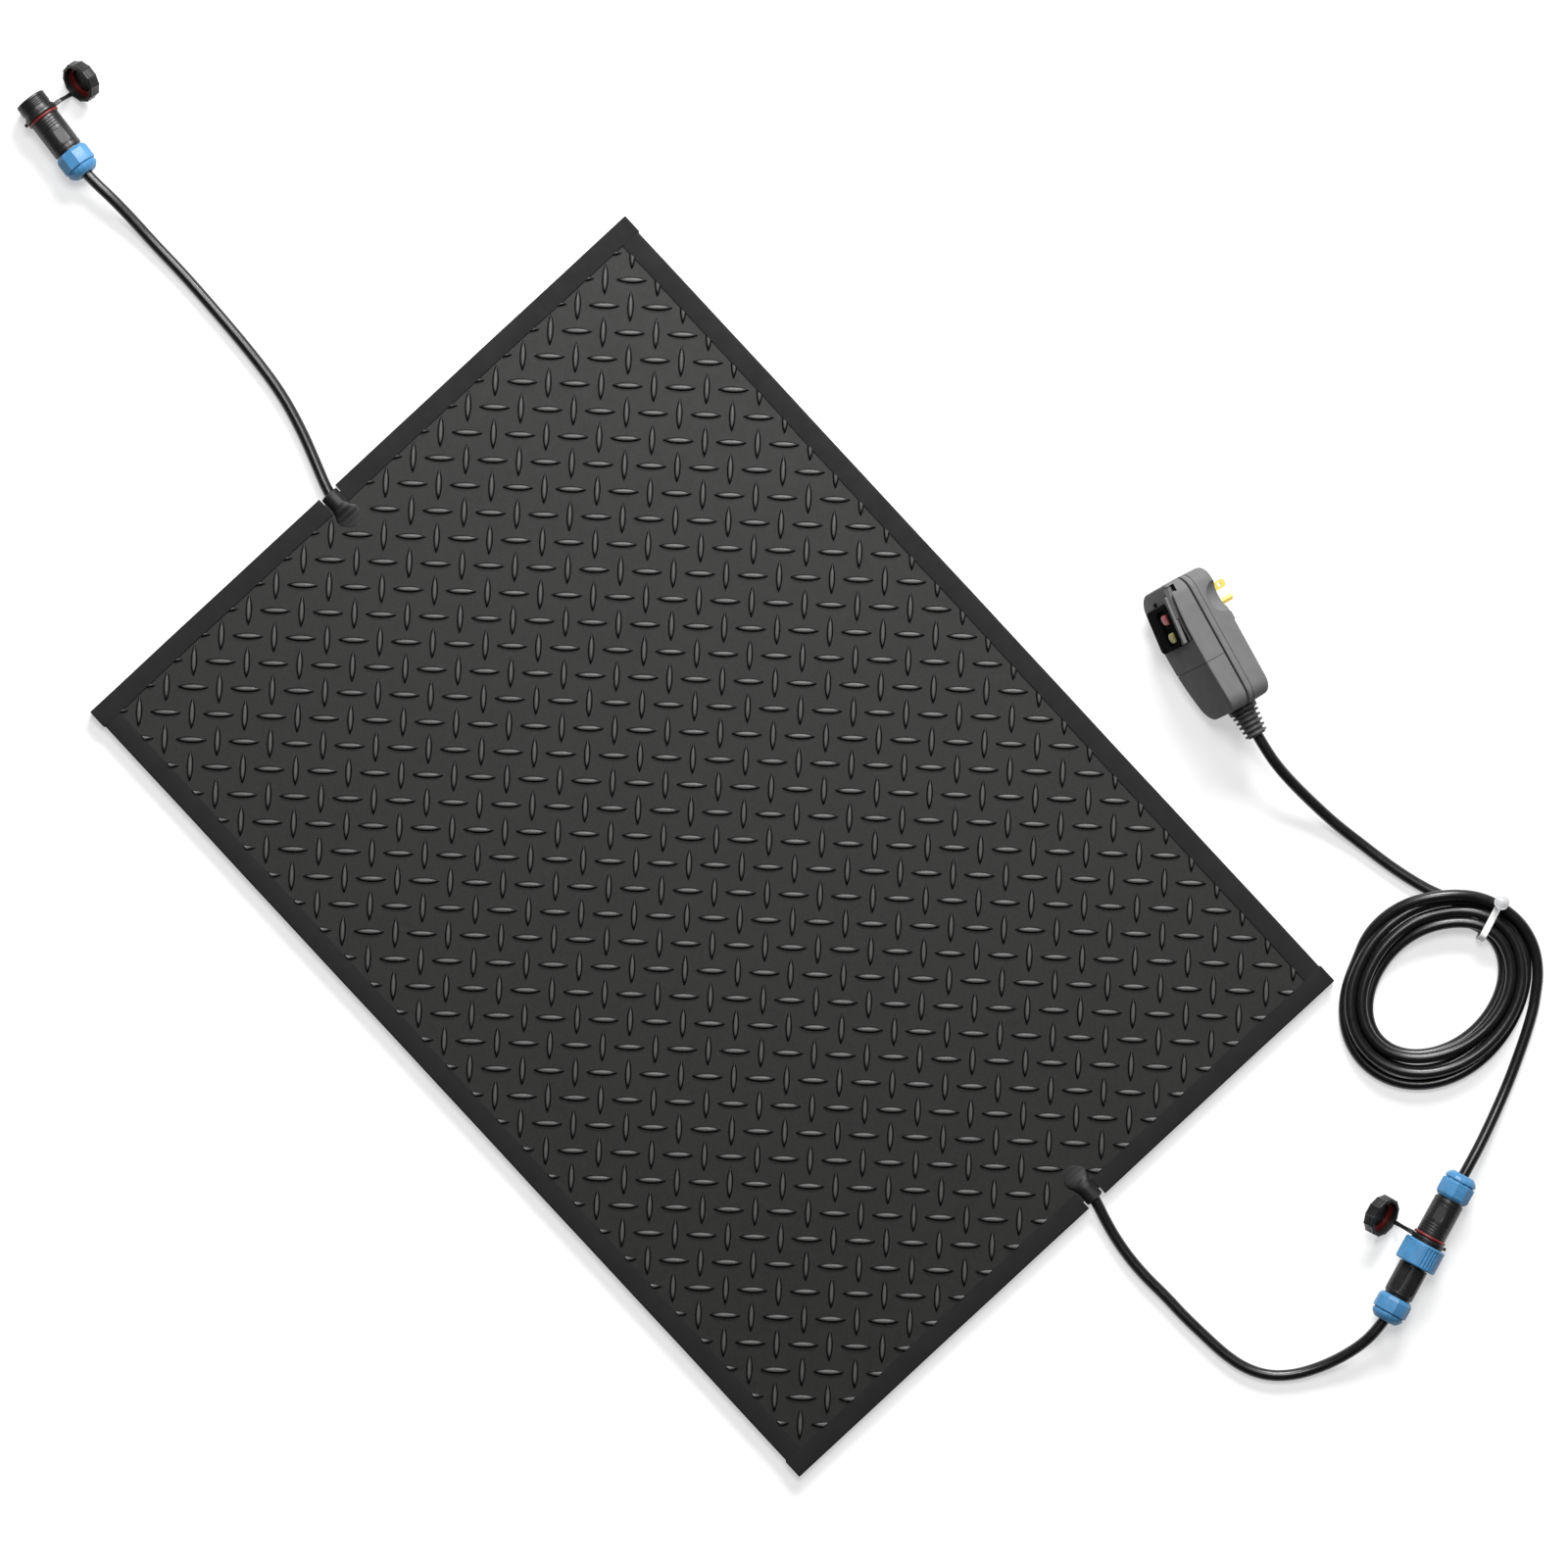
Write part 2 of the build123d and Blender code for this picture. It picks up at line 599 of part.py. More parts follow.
def cord_radii(points):
    """Radius of the arc at each corner: 0.45 of the shorter run over the half turn's tangent."""
    radii = []
    for before, at, after in zip(points, points[1:], points[2:]):
        run_in = Vector(*at) - Vector(*before)
        run_out = Vector(*after) - Vector(*at)
        turn = math.radians(run_in.get_angle(run_out))
        radii.append(0.45 * min(run_in.length, run_out.length) / math.tan(turn / 2))
    return radii


def cord_tube(name, points):
    radii = cord_radii(points)
    route = FilletPolyline(*points, radius=radii)
    solid = along_route(route, Circle(CORD_R))
    swept = math.pi * CORD_R**2 * route.length
    print(name, "length", round(route.length), "tightest radius", round(min(radii)), end=" ")
    print("volume over section times length", round(solid.volume / swept, 4))
    return solid


def power_cord_coil():
    """Outer shape of the oval coil."""
    height = COIL_TOP - COIL_BOTTOM
    ring = Pos(*COIL_CENTRE, COIL_BOTTOM) * Rot(Z=COIL_TURN) * extrude(Ellipse(*COIL_OUTER), height)
    ring -= Pos(*COIL_HOLE_CENTRE, COIL_BOTTOM) * extrude(Ellipse(*COIL_HOLE), height)
    return ring


def coil_tie():
    """Band round the coil's bundle."""
    inner_height = COIL_TOP - COIL_BOTTOM + 0.1
    band = Box(TIE_SPAN + 2 * TIE_THICK, TIE_WIDTH, inner_height + 2 * TIE_THICK)
    band -= Box(TIE_SPAN, TIE_WIDTH, inner_height)
    middle = (COIL_TOP + COIL_BOTTOM) / 2
    return Pos(*TIE_CENTRE, middle) * Rot(Z=TIE_HEADING) * band


def tie_knob():
    """Ball that stands on the outer end of the band."""
    angle = math.radians(TIE_HEADING)
    x = TIE_CENTRE[0] + KNOB_REACH * math.cos(angle)
    y = TIE_CENTRE[1] + KNOB_REACH * math.sin(angle)
    band_top = COIL_TOP + 0.05 + TIE_THICK
    return Pos(x, y, band_top + 0.1 + KNOB_R) * Sphere(KNOB_R)


# Ground-fault plug, built in its own frame

def across(solid):
    """Turn a solid built along Z so that it runs along Y."""
    return Rot(X=-90) * solid


def plug_block(grow, y0, y1):
    """Rounded block over the plug's outline, grown or shrunk, between two depths."""
    outline = RectangleRounded(PLUG_LENGTH + 2 * grow, PLUG_WIDTH + 2 * grow, PLUG_CORNER_R + grow)
    return Pos(PLUG_LENGTH / 2, y0, 0) * across(extrude(outline, y1 - y0))


def plug_bosses(y0, y1):
    return [Pos(x, 0, z) * across(rod(BOSS_R, y0, y1)) for x, z in SCREW_SPOTS]


def blade_solids():
    blades = []
    for side in (1, -1):
        z = side * BLADE_SPACING / 2
        x0 = BLADE_X - BLADE_SIZE[0] / 2
        half = BLADE_SIZE[1] / 2
        tip = PLUG_REAR + BLADE_LENGTH
        blades.append(slab(x0, x0 + BLADE_SIZE[0], CONTACT_DEPTH, tip, z - half, z + half))
    return blades


def earth_solid():
    pin = rod(EARTH_R, CONTACT_DEPTH, PLUG_REAR + EARTH_LENGTH)
    return Pos(EARTH_X, 0, 0) * across(fillet(pin.edges().group_by(Axis.Z)[-1], EARTH_R - 0.2))


def screw_solids():
    screws = []
    for x, z in SCREW_SPOTS:
        screw = rod(SCREW_R, SCREW_TIP, SCREW_SEAT) + rod(SCREW_HEAD_R, SCREW_SEAT, PLUG_REAR - 2.0)
        screws.append(Pos(x, 0, z) * across(screw))
    return screws


def boot_solid():
    """Ribbed strain relief at the cord end."""
    start = PLUG_LENGTH - PLUG_WALL
    end = PLUG_LENGTH + PLUG_BOOT_LENGTH
    base_r, tip_r = PLUG_BOOT_R
    relief = Pos(0, 0, (PLUG_LENGTH + end) / 2) * Cone(base_r, tip_r, PLUG_BOOT_LENGTH)
    relief += rod(8.0, start - 3, PLUG_LENGTH)
    for rib in range(4):
        middle = PLUG_LENGTH + 6.5 + rib * 4.6
        relief += rod(9.6 - rib * 0.4, middle - 1.1, middle + 1.1)
    return Pos(0, BOOT_DEPTH, 0) * Rot(Y=90) * relief


def plug_rear_shell():
    shell = plug_block(0, GASKET_HALF, PLUG_REAR)
    shell = fillet(shell.edges().group_by(Axis.Y)[-1], PLUG_EDGE_R)
    shell -= plug_block(-PLUG_WALL, GASKET_HALF, PLUG_REAR - PLUG_WALL)
    for side in (1, -1):
        inner = side * (PLUG_WIDTH / 2 - SCOOP_DEPTH - PLUG_WALL)
        outer = side * (PLUG_WIDTH / 2 - PLUG_WALL)
        x0, x1 = SCOOP_X - SCOOP_R - PLUG_WALL, SCOOP_X + SCOOP_R + PLUG_WALL
        shell += slab(x0, x1, GASKET_HALF, PLUG_REAR - PLUG_WALL, inner, outer)
    for solid in plug_bosses(GASKET_HALF, PLUG_REAR - PLUG_WALL):
        shell += solid
    for side in (1, -1):
        middle = side * (PLUG_WIDTH / 2 - SCOOP_DEPTH + SCOOP_BALL_R)
        shell -= Pos(SCOOP_X, PLUG_REAR, middle) * Sphere(SCOOP_BALL_R)
    for x, z in SCREW_SPOTS:
        shell -= Pos(x, 0, z) * across(rod(SCREW_R, 0, SCREW_SEAT))
        shell -= Pos(x, 0, z) * across(rod(SCREW_HEAD_R, SCREW_SEAT, PLUG_REAR))
    for solid in [*blade_solids(), earth_solid(), boot_solid()]:
        shell -= solid
    return shell


def bowed(proud):
    """A large drum whose side is the bowed front face, standing proud of it by a distance."""
    radius = PLUG_BOW_R + proud
    return Pos(PLUG_LENGTH / 2, PLUG_FRONT + PLUG_BOW_R, 0) * Cylinder(radius, 2 * PLUG_WIDTH)


def front_half():
    shell = plug_block(0, PLUG_FRONT, -GASKET_HALF)
    shell -= plug_block(-PLUG_WALL, PLUG_FRONT, -GASKET_HALF) & bowed(-PLUG_WALL)
    for solid in plug_bosses(PLUG_FRONT, -GASKET_HALF):
        shell += solid
    shell &= bowed(0)
    for x, z in SCREW_SPOTS:
        shell -= Pos(x, 0, z) * across(rod(SCREW_R, SCREW_TIP, 0))
    return shell - boot_solid()


FRONT_HALF = front_half()
REACH = 60.0


def plug_front_shell():
    """Front of the case, with a window for the bezel and a hood along the window's upper side."""
    shell = FRONT_HALF & slab(-REACH, SPLIT_X - SPLIT_GAP, -REACH, REACH, -REACH, REACH)
    window = slab(*BEZEL_X, -REACH, BEZEL_BACK, -BEZEL_HALF_WIDTH, BEZEL_HALF_WIDTH)
    hood_top = BEZEL_HALF_WIDTH + HOOD_THICK
    hood = slab(*BEZEL_X, -REACH, BEZEL_BACK, BEZEL_HALF_WIDTH, hood_top)
    hood = (hood & bowed(BEZEL_PROUD - HOOD_SETBACK)) - bowed(-PLUG_WALL)
    return shell - window + hood


def plug_terminal_cover():
    return FRONT_HALF & slab(SPLIT_X + SPLIT_GAP, 2 * REACH, -REACH, REACH, -REACH, REACH)


def plug_gasket():
    gasket = plug_block(-GASKET_INSET, -GASKET_HALF, GASKET_HALF)
    gasket -= plug_block(-PLUG_WALL, -GASKET_HALF, GASKET_HALF)
    return gasket - boot_solid()


def button_well(x, grow):
    width, height = BUTTON_SIZE
    outline = RectangleRounded(width + 2 * grow, height + 2 * grow, 3.4 + grow)
    return Pos(x, -30, BUTTON_Z) * across(extrude(outline, 30))


def button_bezel():
    """Raised black block that holds both buttons in a shallow dish."""
    front = PLUG_FRONT - BEZEL_PROUD
    x0, x1 = BEZEL_X[0] + BEZEL_FIT, BEZEL_X[1] - BEZEL_FIT
    half = BEZEL_HALF_WIDTH - BEZEL_FIT
    outline = RectangleRounded(x1 - x0, 2 * half, 4.0)
    block = Pos((x0 + x1) / 2, front, 0) * across(extrude(outline, BEZEL_BACK - front))
    block = fillet(block.edges().group_by(Axis.Y)[0], 2.0) & bowed(BEZEL_PROUD)
    dish = RectangleRounded(x1 - x0 - 5, DISH_WIDTH, 4.0)
    block -= Pos((x0 + x1) / 2, front - 1, BUTTON_Z) * across(extrude(dish, 3.5))
    reach = half + FLANGE_MARGIN
    flange = slab(*FLANGE_X, -REACH, 0, -reach, reach)
    block += (flange & bowed(-PLUG_WALL)) - bowed(-PLUG_WALL - FLANGE_THICK)
    for x in (RESET_X, TEST_X):
        block -= button_well(x, RUNNING_GAP)
    return block


def push_button(x):
    """Button cap on a stem, with a collar that stops it behind the bezel."""
    front = PLUG_FRONT - BEZEL_PROUD + 1.3
    back = BEZEL_BACK + 0.2
    width, height = BUTTON_SIZE
    cap = across(extrude(RectangleRounded(width, height, 3.4), back - front))
    cap = Pos(x, front, BUTTON_Z) * cap
    cap = fillet(cap.edges().group_by(Axis.Y)[0], 1.0)
    half_x, half_z = width / 2 + 1, height / 2 + 1
    low, high = BUTTON_Z - half_z, BUTTON_Z + half_z
    collar = slab(x - half_x, x + half_x, back, back + 1.5, low, high)
    return cap + collar + Pos(x, 0, BUTTON_Z) * across(rod(1.8, back + 1.5, back + 4.5))


def button_springs():
    back = BEZEL_BACK + 0.2 + 1.5
    coil = across(tube(3.2, 2.3, back + BUTTON_TRAVEL + 0.2, 0.2))
    springs = [Pos(x, 0, BUTTON_Z) * coil for x in (RESET_X, TEST_X)]
    return Part(children=[]) + springs


def circuit_board():
    return slab(14, 90, 0.4, 2.0, -17.5, 17.5)


def board_parts():
    """Relay, sensing coil, capacitor and resistors on the board."""
    relay = slab(50, 68, 2.0, 14, -8, 8)
    coil = Pos(80, 0, 0) * across(tube(7.5, 3.0, 2.0, 8.0))
    capacitor = Pos(42, 0, -12) * across(rod(3.0, 2.0, 11))
    parts = [relay, coil, capacitor]
    parts += [slab(46 + 6 * k, 49 + 6 * k, 2.0, 4.0, 10, 16) for k in range(4)]
    return Part(children=[]) + parts


def solids_of(*shapes):
    return Part(children=[]) + list(shapes)


def plug_nodes():
    return {
        "plug_rear_shell": plug_rear_shell(),
        "plug_front_shell": plug_front_shell(),
        "plug_terminal_cover": plug_terminal_cover(),
        "plug_gasket": plug_gasket(),
        "button_bezel": button_bezel(),
        "reset_button": push_button(RESET_X),
        "test_button": push_button(TEST_X),
        "button_springs": button_springs(),
        "plug_boot": boot_solid(),
        "line_blades": solids_of(*blade_solids()),
        "ground_pin": earth_solid(),
        "circuit_board": circuit_board(),
        "board_parts": board_parts(),
        "shell_screws": solids_of(*screw_solids()),
    }


def socket_nodes(prefix, cap_place):
    return {
        f"{prefix}_gland_nut": gland_nut(NUT_LENGTH),
        f"{prefix}_gland_seal": gland_seal(),
        f"{prefix}_socket_body": socket_body(),
        f"{prefix}_socket_insert": socket_insert(),
        f"{prefix}_socket_contacts": socket_contacts(),
        f"{prefix}_o_ring": seal_ring(),
        f"{prefix}_cap_strap": cap_strap(*cap_place),
        f"{prefix}_cap": dust_cap(*cap_place),
        f"{prefix}_cap_seal": cap_seal(*cap_place),
    }


TAIL_CAP_PLACE = (TAIL_HEIGHT, TAIL_CAP_TILT, TAIL_CAP_SIDE, TAIL_CAP_ALONG)
MAINS_CAP_PLACE = (PAIR_HEIGHT, MAINS_CAP_TILT, MAINS_CAP_SIDE, MAINS_CAP_ALONG)


def feed_nodes():
    return {
        "feed_gland_nut": gland_nut(FEED_NUT_LENGTH),
        "feed_gland_seal": gland_seal(),
        "feed_plug_body": feed_plug_body(),
        "feed_plug_insert": feed_insert(),
        "feed_pins": feed_pins(),
        "slip_washer": slip_washer(),
        "coupling_ring": coupling_ring(),
    }


def mat_nodes():
    return {
        "base_sheet": base_sheet(),
        "core_layer": core_layer(),
        "heating_cable": heating_cable(),
        "cable_end_seal": cable_end_seal(),
        "splice_blocks": splice_blocks(),
        "through_ribbon": through_ribbon(),
        "thermal_cutout": thermal_cutout(),
        "tread_sheet": tread_sheet(),
        "long_hems": long_hems(),
        "feed_end_hem": end_hem(1, FEED_EXIT_Y),
        "tail_end_hem": end_hem(-1, TAIL_EXIT_Y),
        "feed_boot": FEED_BOOT,
        "tail_boot": TAIL_BOOT,
    }


def cord_nodes():
    return {
        "tail_lead": cord_tube("tail_lead", TAIL_LEAD),
        "feed_lead": cord_tube("feed_lead", FEED_LEAD),
        "power_cord_lead": cord_tube("power_cord_lead", POWER_LEAD),
        "power_cord_coil": power_cord_coil(),
        "power_cord_tail": cord_tube("power_cord_tail", POWER_TAIL),
        "coil_tie": coil_tie(),
        "tie_knob": tie_knob(),
    }


def all_nodes():
    nodes = {**mat_nodes(), **cord_nodes()}
    nodes.update({name: TAIL_FRAME * part for name, part in socket_nodes("tail", TAIL_CAP_PLACE).items()})
    nodes.update({name: MAINS_FRAME * part for name, part in socket_nodes("mains", MAINS_CAP_PLACE).items()})
    nodes.update({name: FEED_FRAME * part for name, part in feed_nodes().items()})
    nodes.update({name: PLUG_FRAME * part for name, part in plug_nodes().items()})
    return nodes


def main():
    os.makedirs("parts", exist_ok=True)
    for name, part in all_nodes().items():
        export_step(part, f"parts/{name}.step")


main()
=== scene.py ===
import json
import math

import bmesh
import bpy
import numpy as np
from mathutils import Matrix, Vector


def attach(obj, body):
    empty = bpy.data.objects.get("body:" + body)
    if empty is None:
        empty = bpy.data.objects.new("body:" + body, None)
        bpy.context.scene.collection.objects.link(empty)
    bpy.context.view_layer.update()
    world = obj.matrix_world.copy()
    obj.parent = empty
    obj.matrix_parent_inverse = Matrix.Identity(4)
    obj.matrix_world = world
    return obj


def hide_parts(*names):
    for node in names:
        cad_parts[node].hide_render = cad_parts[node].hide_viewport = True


# Heated rubber mat with its leads, waterproof connectors, power cord and ground-fault plug.
# Lengths in this file are millimetres and are turned into metres when a mesh is made.

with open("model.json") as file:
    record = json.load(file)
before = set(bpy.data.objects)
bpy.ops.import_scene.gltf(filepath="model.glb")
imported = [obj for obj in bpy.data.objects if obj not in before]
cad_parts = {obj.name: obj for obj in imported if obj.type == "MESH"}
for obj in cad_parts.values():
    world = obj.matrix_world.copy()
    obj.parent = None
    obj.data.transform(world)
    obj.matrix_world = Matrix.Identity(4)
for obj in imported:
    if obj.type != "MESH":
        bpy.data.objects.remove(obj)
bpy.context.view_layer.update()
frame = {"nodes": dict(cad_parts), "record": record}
MM = 0.001
IN_ROW = Matrix.Identity(4)


# Meshes


def place_points(points, place):
    """Points in a local frame, in millimetres, to points in the row frame, in metres."""
    matrix = np.array(place, float)
    flat = np.asarray(points, float).reshape(-1, 3)
    return (flat @ matrix[:3, :3].T + matrix[:3, 3]) * MM


def grid_faces(rows, columns, wrap_rows=False):
    """Quads over a grid of points stored row by row."""
    faces = []
    for i in range(rows if wrap_rows else rows - 1):
        for j in range(columns):
            a = i * columns + j
            b = i * columns + (j + 1) % columns
            c = ((i + 1) % rows) * columns + (j + 1) % columns
            d = ((i + 1) % rows) * columns + j
            faces.append((a, b, c, d))
    return faces


def tube_faces(rows, columns):
    """Quads along a tube of closed rings, with both ends capped."""
    faces = grid_faces(rows, columns)
    faces.append(tuple(reversed(range(columns))))
    faces.append(tuple((rows - 1) * columns + j for j in range(columns)))
    return faces


def tube(rings, place):
    """A capped tube through rings given in a local frame, in millimetres."""
    return place_points(rings, place), tube_faces(len(rings), len(rings[0]))


def outward_mesh(name, points, faces):
    """A mesh with all its faces turned outwards."""
    mesh = bpy.data.meshes.new(name)
    mesh.from_pydata([tuple(p) for p in points], [], faces)
    mesh.validate()
    bm = bmesh.new()
    bm.from_mesh(mesh)
    bmesh.ops.recalc_face_normals(bm, faces=bm.faces)
    bm.to_mesh(mesh)
    bm.free()
    return mesh


def make_piece(name, vertices, faces, slot, body, replaces=(), sharp=35.0):
    """A mesh piece that rides on a body, with smooth shading up to the sharp angle."""
    return finish_piece(name, outward_mesh(name, vertices, faces), slot, body, replaces, sharp)


def finish_piece(name, mesh, slot, body, replaces=(), sharp=35.0):
    mesh.polygons.foreach_set("use_smooth", [True] * len(mesh.polygons))
    mesh.set_sharp_from_angle(angle=math.radians(sharp))
    mesh.materials.append(MATERIALS[slot])
    piece = bpy.data.objects.new(name, mesh)
    bpy.context.scene.collection.objects.link(piece)
    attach(piece, body)
    if replaces:
        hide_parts(*replaces)
    return piece


class Parts:
    """Collects several closed shapes into one mesh."""

    def __init__(self):
        self.vertices = []
        self.faces = []

    def add(self, points, faces):
        first = len(self.vertices)
        self.vertices.extend(points)
        self.faces.extend(tuple(first + i for i in face) for face in faces)

    def piece(self, name, slot, body, replaces=(), sharp=35.0):
        return make_piece(name, self.vertices, self.faces, slot, body, replaces, sharp)


def eased(keys, value):
    """Smooth steps between (position, value, ...) keys."""
    if value <= keys[0][0]:
        return keys[0][1:]
    for low, high in zip(keys, keys[1:]):
        if value <= high[0]:
            t = (value - low[0]) / (high[0] - low[0])
            t = t * t * (3 - 2 * t)
            return tuple(a + (b - a) * t for a, b in zip(low[1:], high[1:]))
    return keys[-1][1:]


def rounded_path(corners, steps=4, closed=True):
    """Corners (u, v, cut) to points, each corner rounded off over its cut length."""
    points = []
    count = len(corners)
    for k, (u, v, cut) in enumerate(corners):
        here = np.array((u, v), float)
        if cut == 0 or (not closed and k in (0, count - 1)):
            points.append(here)
            continue
        before = np.array(corners[k - 1][:2], float) - here
        after = np.array(corners[(k + 1) % count][:2], float) - here
        start = here + before / np.linalg.norm(before) * cut
        end = here + after / np.linalg.norm(after) * cut
        for s in np.linspace(0, 1, steps + 1):
            points.append((1 - s) ** 2 * start + 2 * s * (1 - s) * here + s**2 * end)
    return np.array(points)


def ring_points(profile, sides, shape=None):
    """Rings round local Z from a profile of (z, r) points."""
    angles = np.linspace(0, 2 * math.pi, sides, endpoint=False)
    rings = []
    for z, r in profile:
        radius = np.full(sides, r) if shape is None else shape(z, r, angles)
        rings.append(np.stack([radius * np.cos(angles), radius * np.sin(angles), np.full(sides, z)], 1))
    return np.array(rings)


def turned(corners, place, sides, shape=None, closed=True):
    """A turned part: a closed profile gives a ring, an open one a solid with flat ends."""
    rings = ring_points(rounded_path(corners, closed=closed), sides, shape)
    if closed:
        return place_points(rings, place), grid_faces(len(rings), sides, wrap_rows=True)
    return tube(rings, place)


def frame_matrix(origin, x_dir, z_dir):
    """A local frame as a 4 by 4 matrix, in millimetres."""
    x_axis, z_axis = Vector(x_dir).normalized(), Vector(z_dir).normalized()
    y_axis = z_axis.cross(x_axis)
    matrix = Matrix((x_axis, y_axis, z_axis)).transposed().to_4x4()
    matrix.translation = Vector(origin)
    return matrix


# Materials


def shader(name):
    material = bpy.data.materials.new(name)
    material.use_nodes = True
    tree = material.node_tree
    return material, tree, tree.nodes["Principled BSDF"]


def noise(tree, size, detail=3.0, stretch=(1, 1, 1)):
    """Noise in the object's own coordinates, with spots of the given size in millimetres."""
    coordinates = tree.nodes.new("ShaderNodeTexCoord")
    mapping = tree.nodes.new("ShaderNodeMapping")
    mapping.inputs["Scale"].default_value = stretch
    node = tree.nodes.new("ShaderNodeTexNoise")
    node.inputs["Scale"].default_value = 1.0 / (size * MM)
    node.inputs["Detail"].default_value = detail
    tree.links.new(coordinates.outputs["Object"], mapping.inputs["Vector"])
    tree.links.new(mapping.outputs["Vector"], node.inputs["Vector"])
    return node.outputs["Fac"]


def ranged(tree, value, low, high, from_low=0.3, from_high=0.7):
    node = tree.nodes.new("ShaderNodeMapRange")
    node.inputs["From Min"].default_value = from_low
    node.inputs["From Max"].default_value = from_high
    node.inputs["To Min"].default_value = low
    node.inputs["To Max"].default_value = high
    tree.links.new(value, node.inputs["Value"])
    return node.outputs["Result"]


def mixed(tree, share, first, second):
    node = tree.nodes.new("ShaderNodeMix")
    node.data_type = "RGBA"
    for socket, colour in ((node.inputs[6], first), (node.inputs[7], second)):
        if isinstance(colour, tuple):
            socket.default_value = (*colour, 1.0)
        else:
            tree.links.new(colour, socket)
    tree.links.new(share, node.inputs[0])
    return node.outputs[2]


def bumped(tree, height, strength, distance, normal=None):
    node = tree.nodes.new("ShaderNodeBump")
    node.inputs["Strength"].default_value = strength
    node.inputs["Distance"].default_value = distance * MM
    tree.links.new(height, node.inputs["Height"])
    if normal is not None:
        tree.links.new(normal, node.inputs["Normal"])
    return node.outputs["Normal"]


def height_share(tree, low, high):
    """0 below one height and 1 above another, in the object's own coordinates."""
    coordinates = tree.nodes.new("ShaderNodeTexCoord")
    split = tree.nodes.new("ShaderNodeSeparateXYZ")
    tree.links.new(coordinates.outputs["Object"], split.inputs["Vector"])
    return ranged(tree, split.outputs["Z"], 0.0, 1.0, low * MM, high * MM)


def make_finish(name, colour, rough, mottle=0.12, mottle_size=18.0, grain=0.25, grain_size=0.7,
                depth=0.08, specular=0.5, metallic=0.0, rough_spread=0.06, transmission=0.0,
                stretch=(1, 1, 1)):
    """A moulded or worked surface: mottled colour, uneven gloss and a fine grain."""
    material, tree, surface = shader(name)
    cloud = noise(tree, mottle_size)
    darker = tuple(c * (1 - mottle) for c in colour)
    lighter = tuple(min(1.0, c * (1 + mottle)) for c in colour)
    tree.links.new(mixed(tree, ranged(tree, cloud, 0, 1), darker, lighter), surface.inputs["Base Color"])
    patches = noise(tree, mottle_size * 0.4, 4.0, stretch)
    gloss = ranged(tree, patches, rough - rough_spread, rough + rough_spread)
    tree.links.new(gloss, surface.inputs["Roughness"])
    if grain:
        fine = noise(tree, grain_size, 2.0, stretch)
        tree.links.new(bumped(tree, fine, grain, depth), surface.inputs["Normal"])
    surface.inputs["Metallic"].default_value = metallic
    surface.inputs["Specular IOR Level"].default_value = specular
    surface.inputs["Transmission Weight"].default_value = transmission
    return material


# Heights over which a lug's flanks darken into painted shade and its crown pales into a painted highlight,
# and the crown's change of roughness
LUG_FLANK_SHADE = (9.1, 9.6)
LUG_CROWN_HIGHLIGHT_AND_POLISH = (10.8, 11.3)
CROWN_POLISH = -0.16


def tread_finish():
    """Moulded rubber: dull between the lugs and smoother on top of them, with painted shade on the lugs'
    flanks and a painted highlight on their crowns.
    """
    material, tree, surface = shader("mat_rubber")
    cloud = ranged(tree, noise(tree, 60.0, 4.0), 0, 1)
    speck = ranged(tree, noise(tree, 1.6, 2.0), 0, 1)
    base = mixed(tree, cloud, (0.009, 0.009, 0.0085), (0.012, 0.012, 0.0112))
    dusty = mixed(tree, speck, base, (0.015, 0.015, 0.0143))
    foot = height_share(tree, *LUG_FLANK_SHADE)
    crown = height_share(tree, *LUG_CROWN_HIGHLIGHT_AND_POLISH)
    # Painted shade: above the foot, the lugs' flanks are coloured almost black.
    shaded = mixed(tree, foot, dusty, (0.002, 0.002, 0.002))
    # Painted highlight: the lugs' crowns are coloured much paler than the rubber between them.
    tree.links.new(mixed(tree, crown, shaded, (0.085, 0.085, 0.083)), surface.inputs["Base Color"])
    patches = ranged(tree, noise(tree, 9.0, 3.0), 0.43, 0.5)
    polish = tree.nodes.new("ShaderNodeMath")
    polish.operation = "MULTIPLY_ADD"
    polish.inputs[1].default_value = CROWN_POLISH
    tree.links.new(crown, polish.inputs[0])
    tree.links.new(patches, polish.inputs[2])
    tree.links.new(polish.outputs[0], surface.inputs["Roughness"])
    coarse = bumped(tree, noise(tree, 2.2, 2.0), 0.06, 0.15)
    fine = bumped(tree, noise(tree, 0.5, 2.0), 0.12, 0.06, coarse)
    tree.links.new(fine, surface.inputs["Normal"])
    surface.inputs["Specular IOR Level"].default_value = 0.27
    return material


def grey(level):
    return (level, level, level)


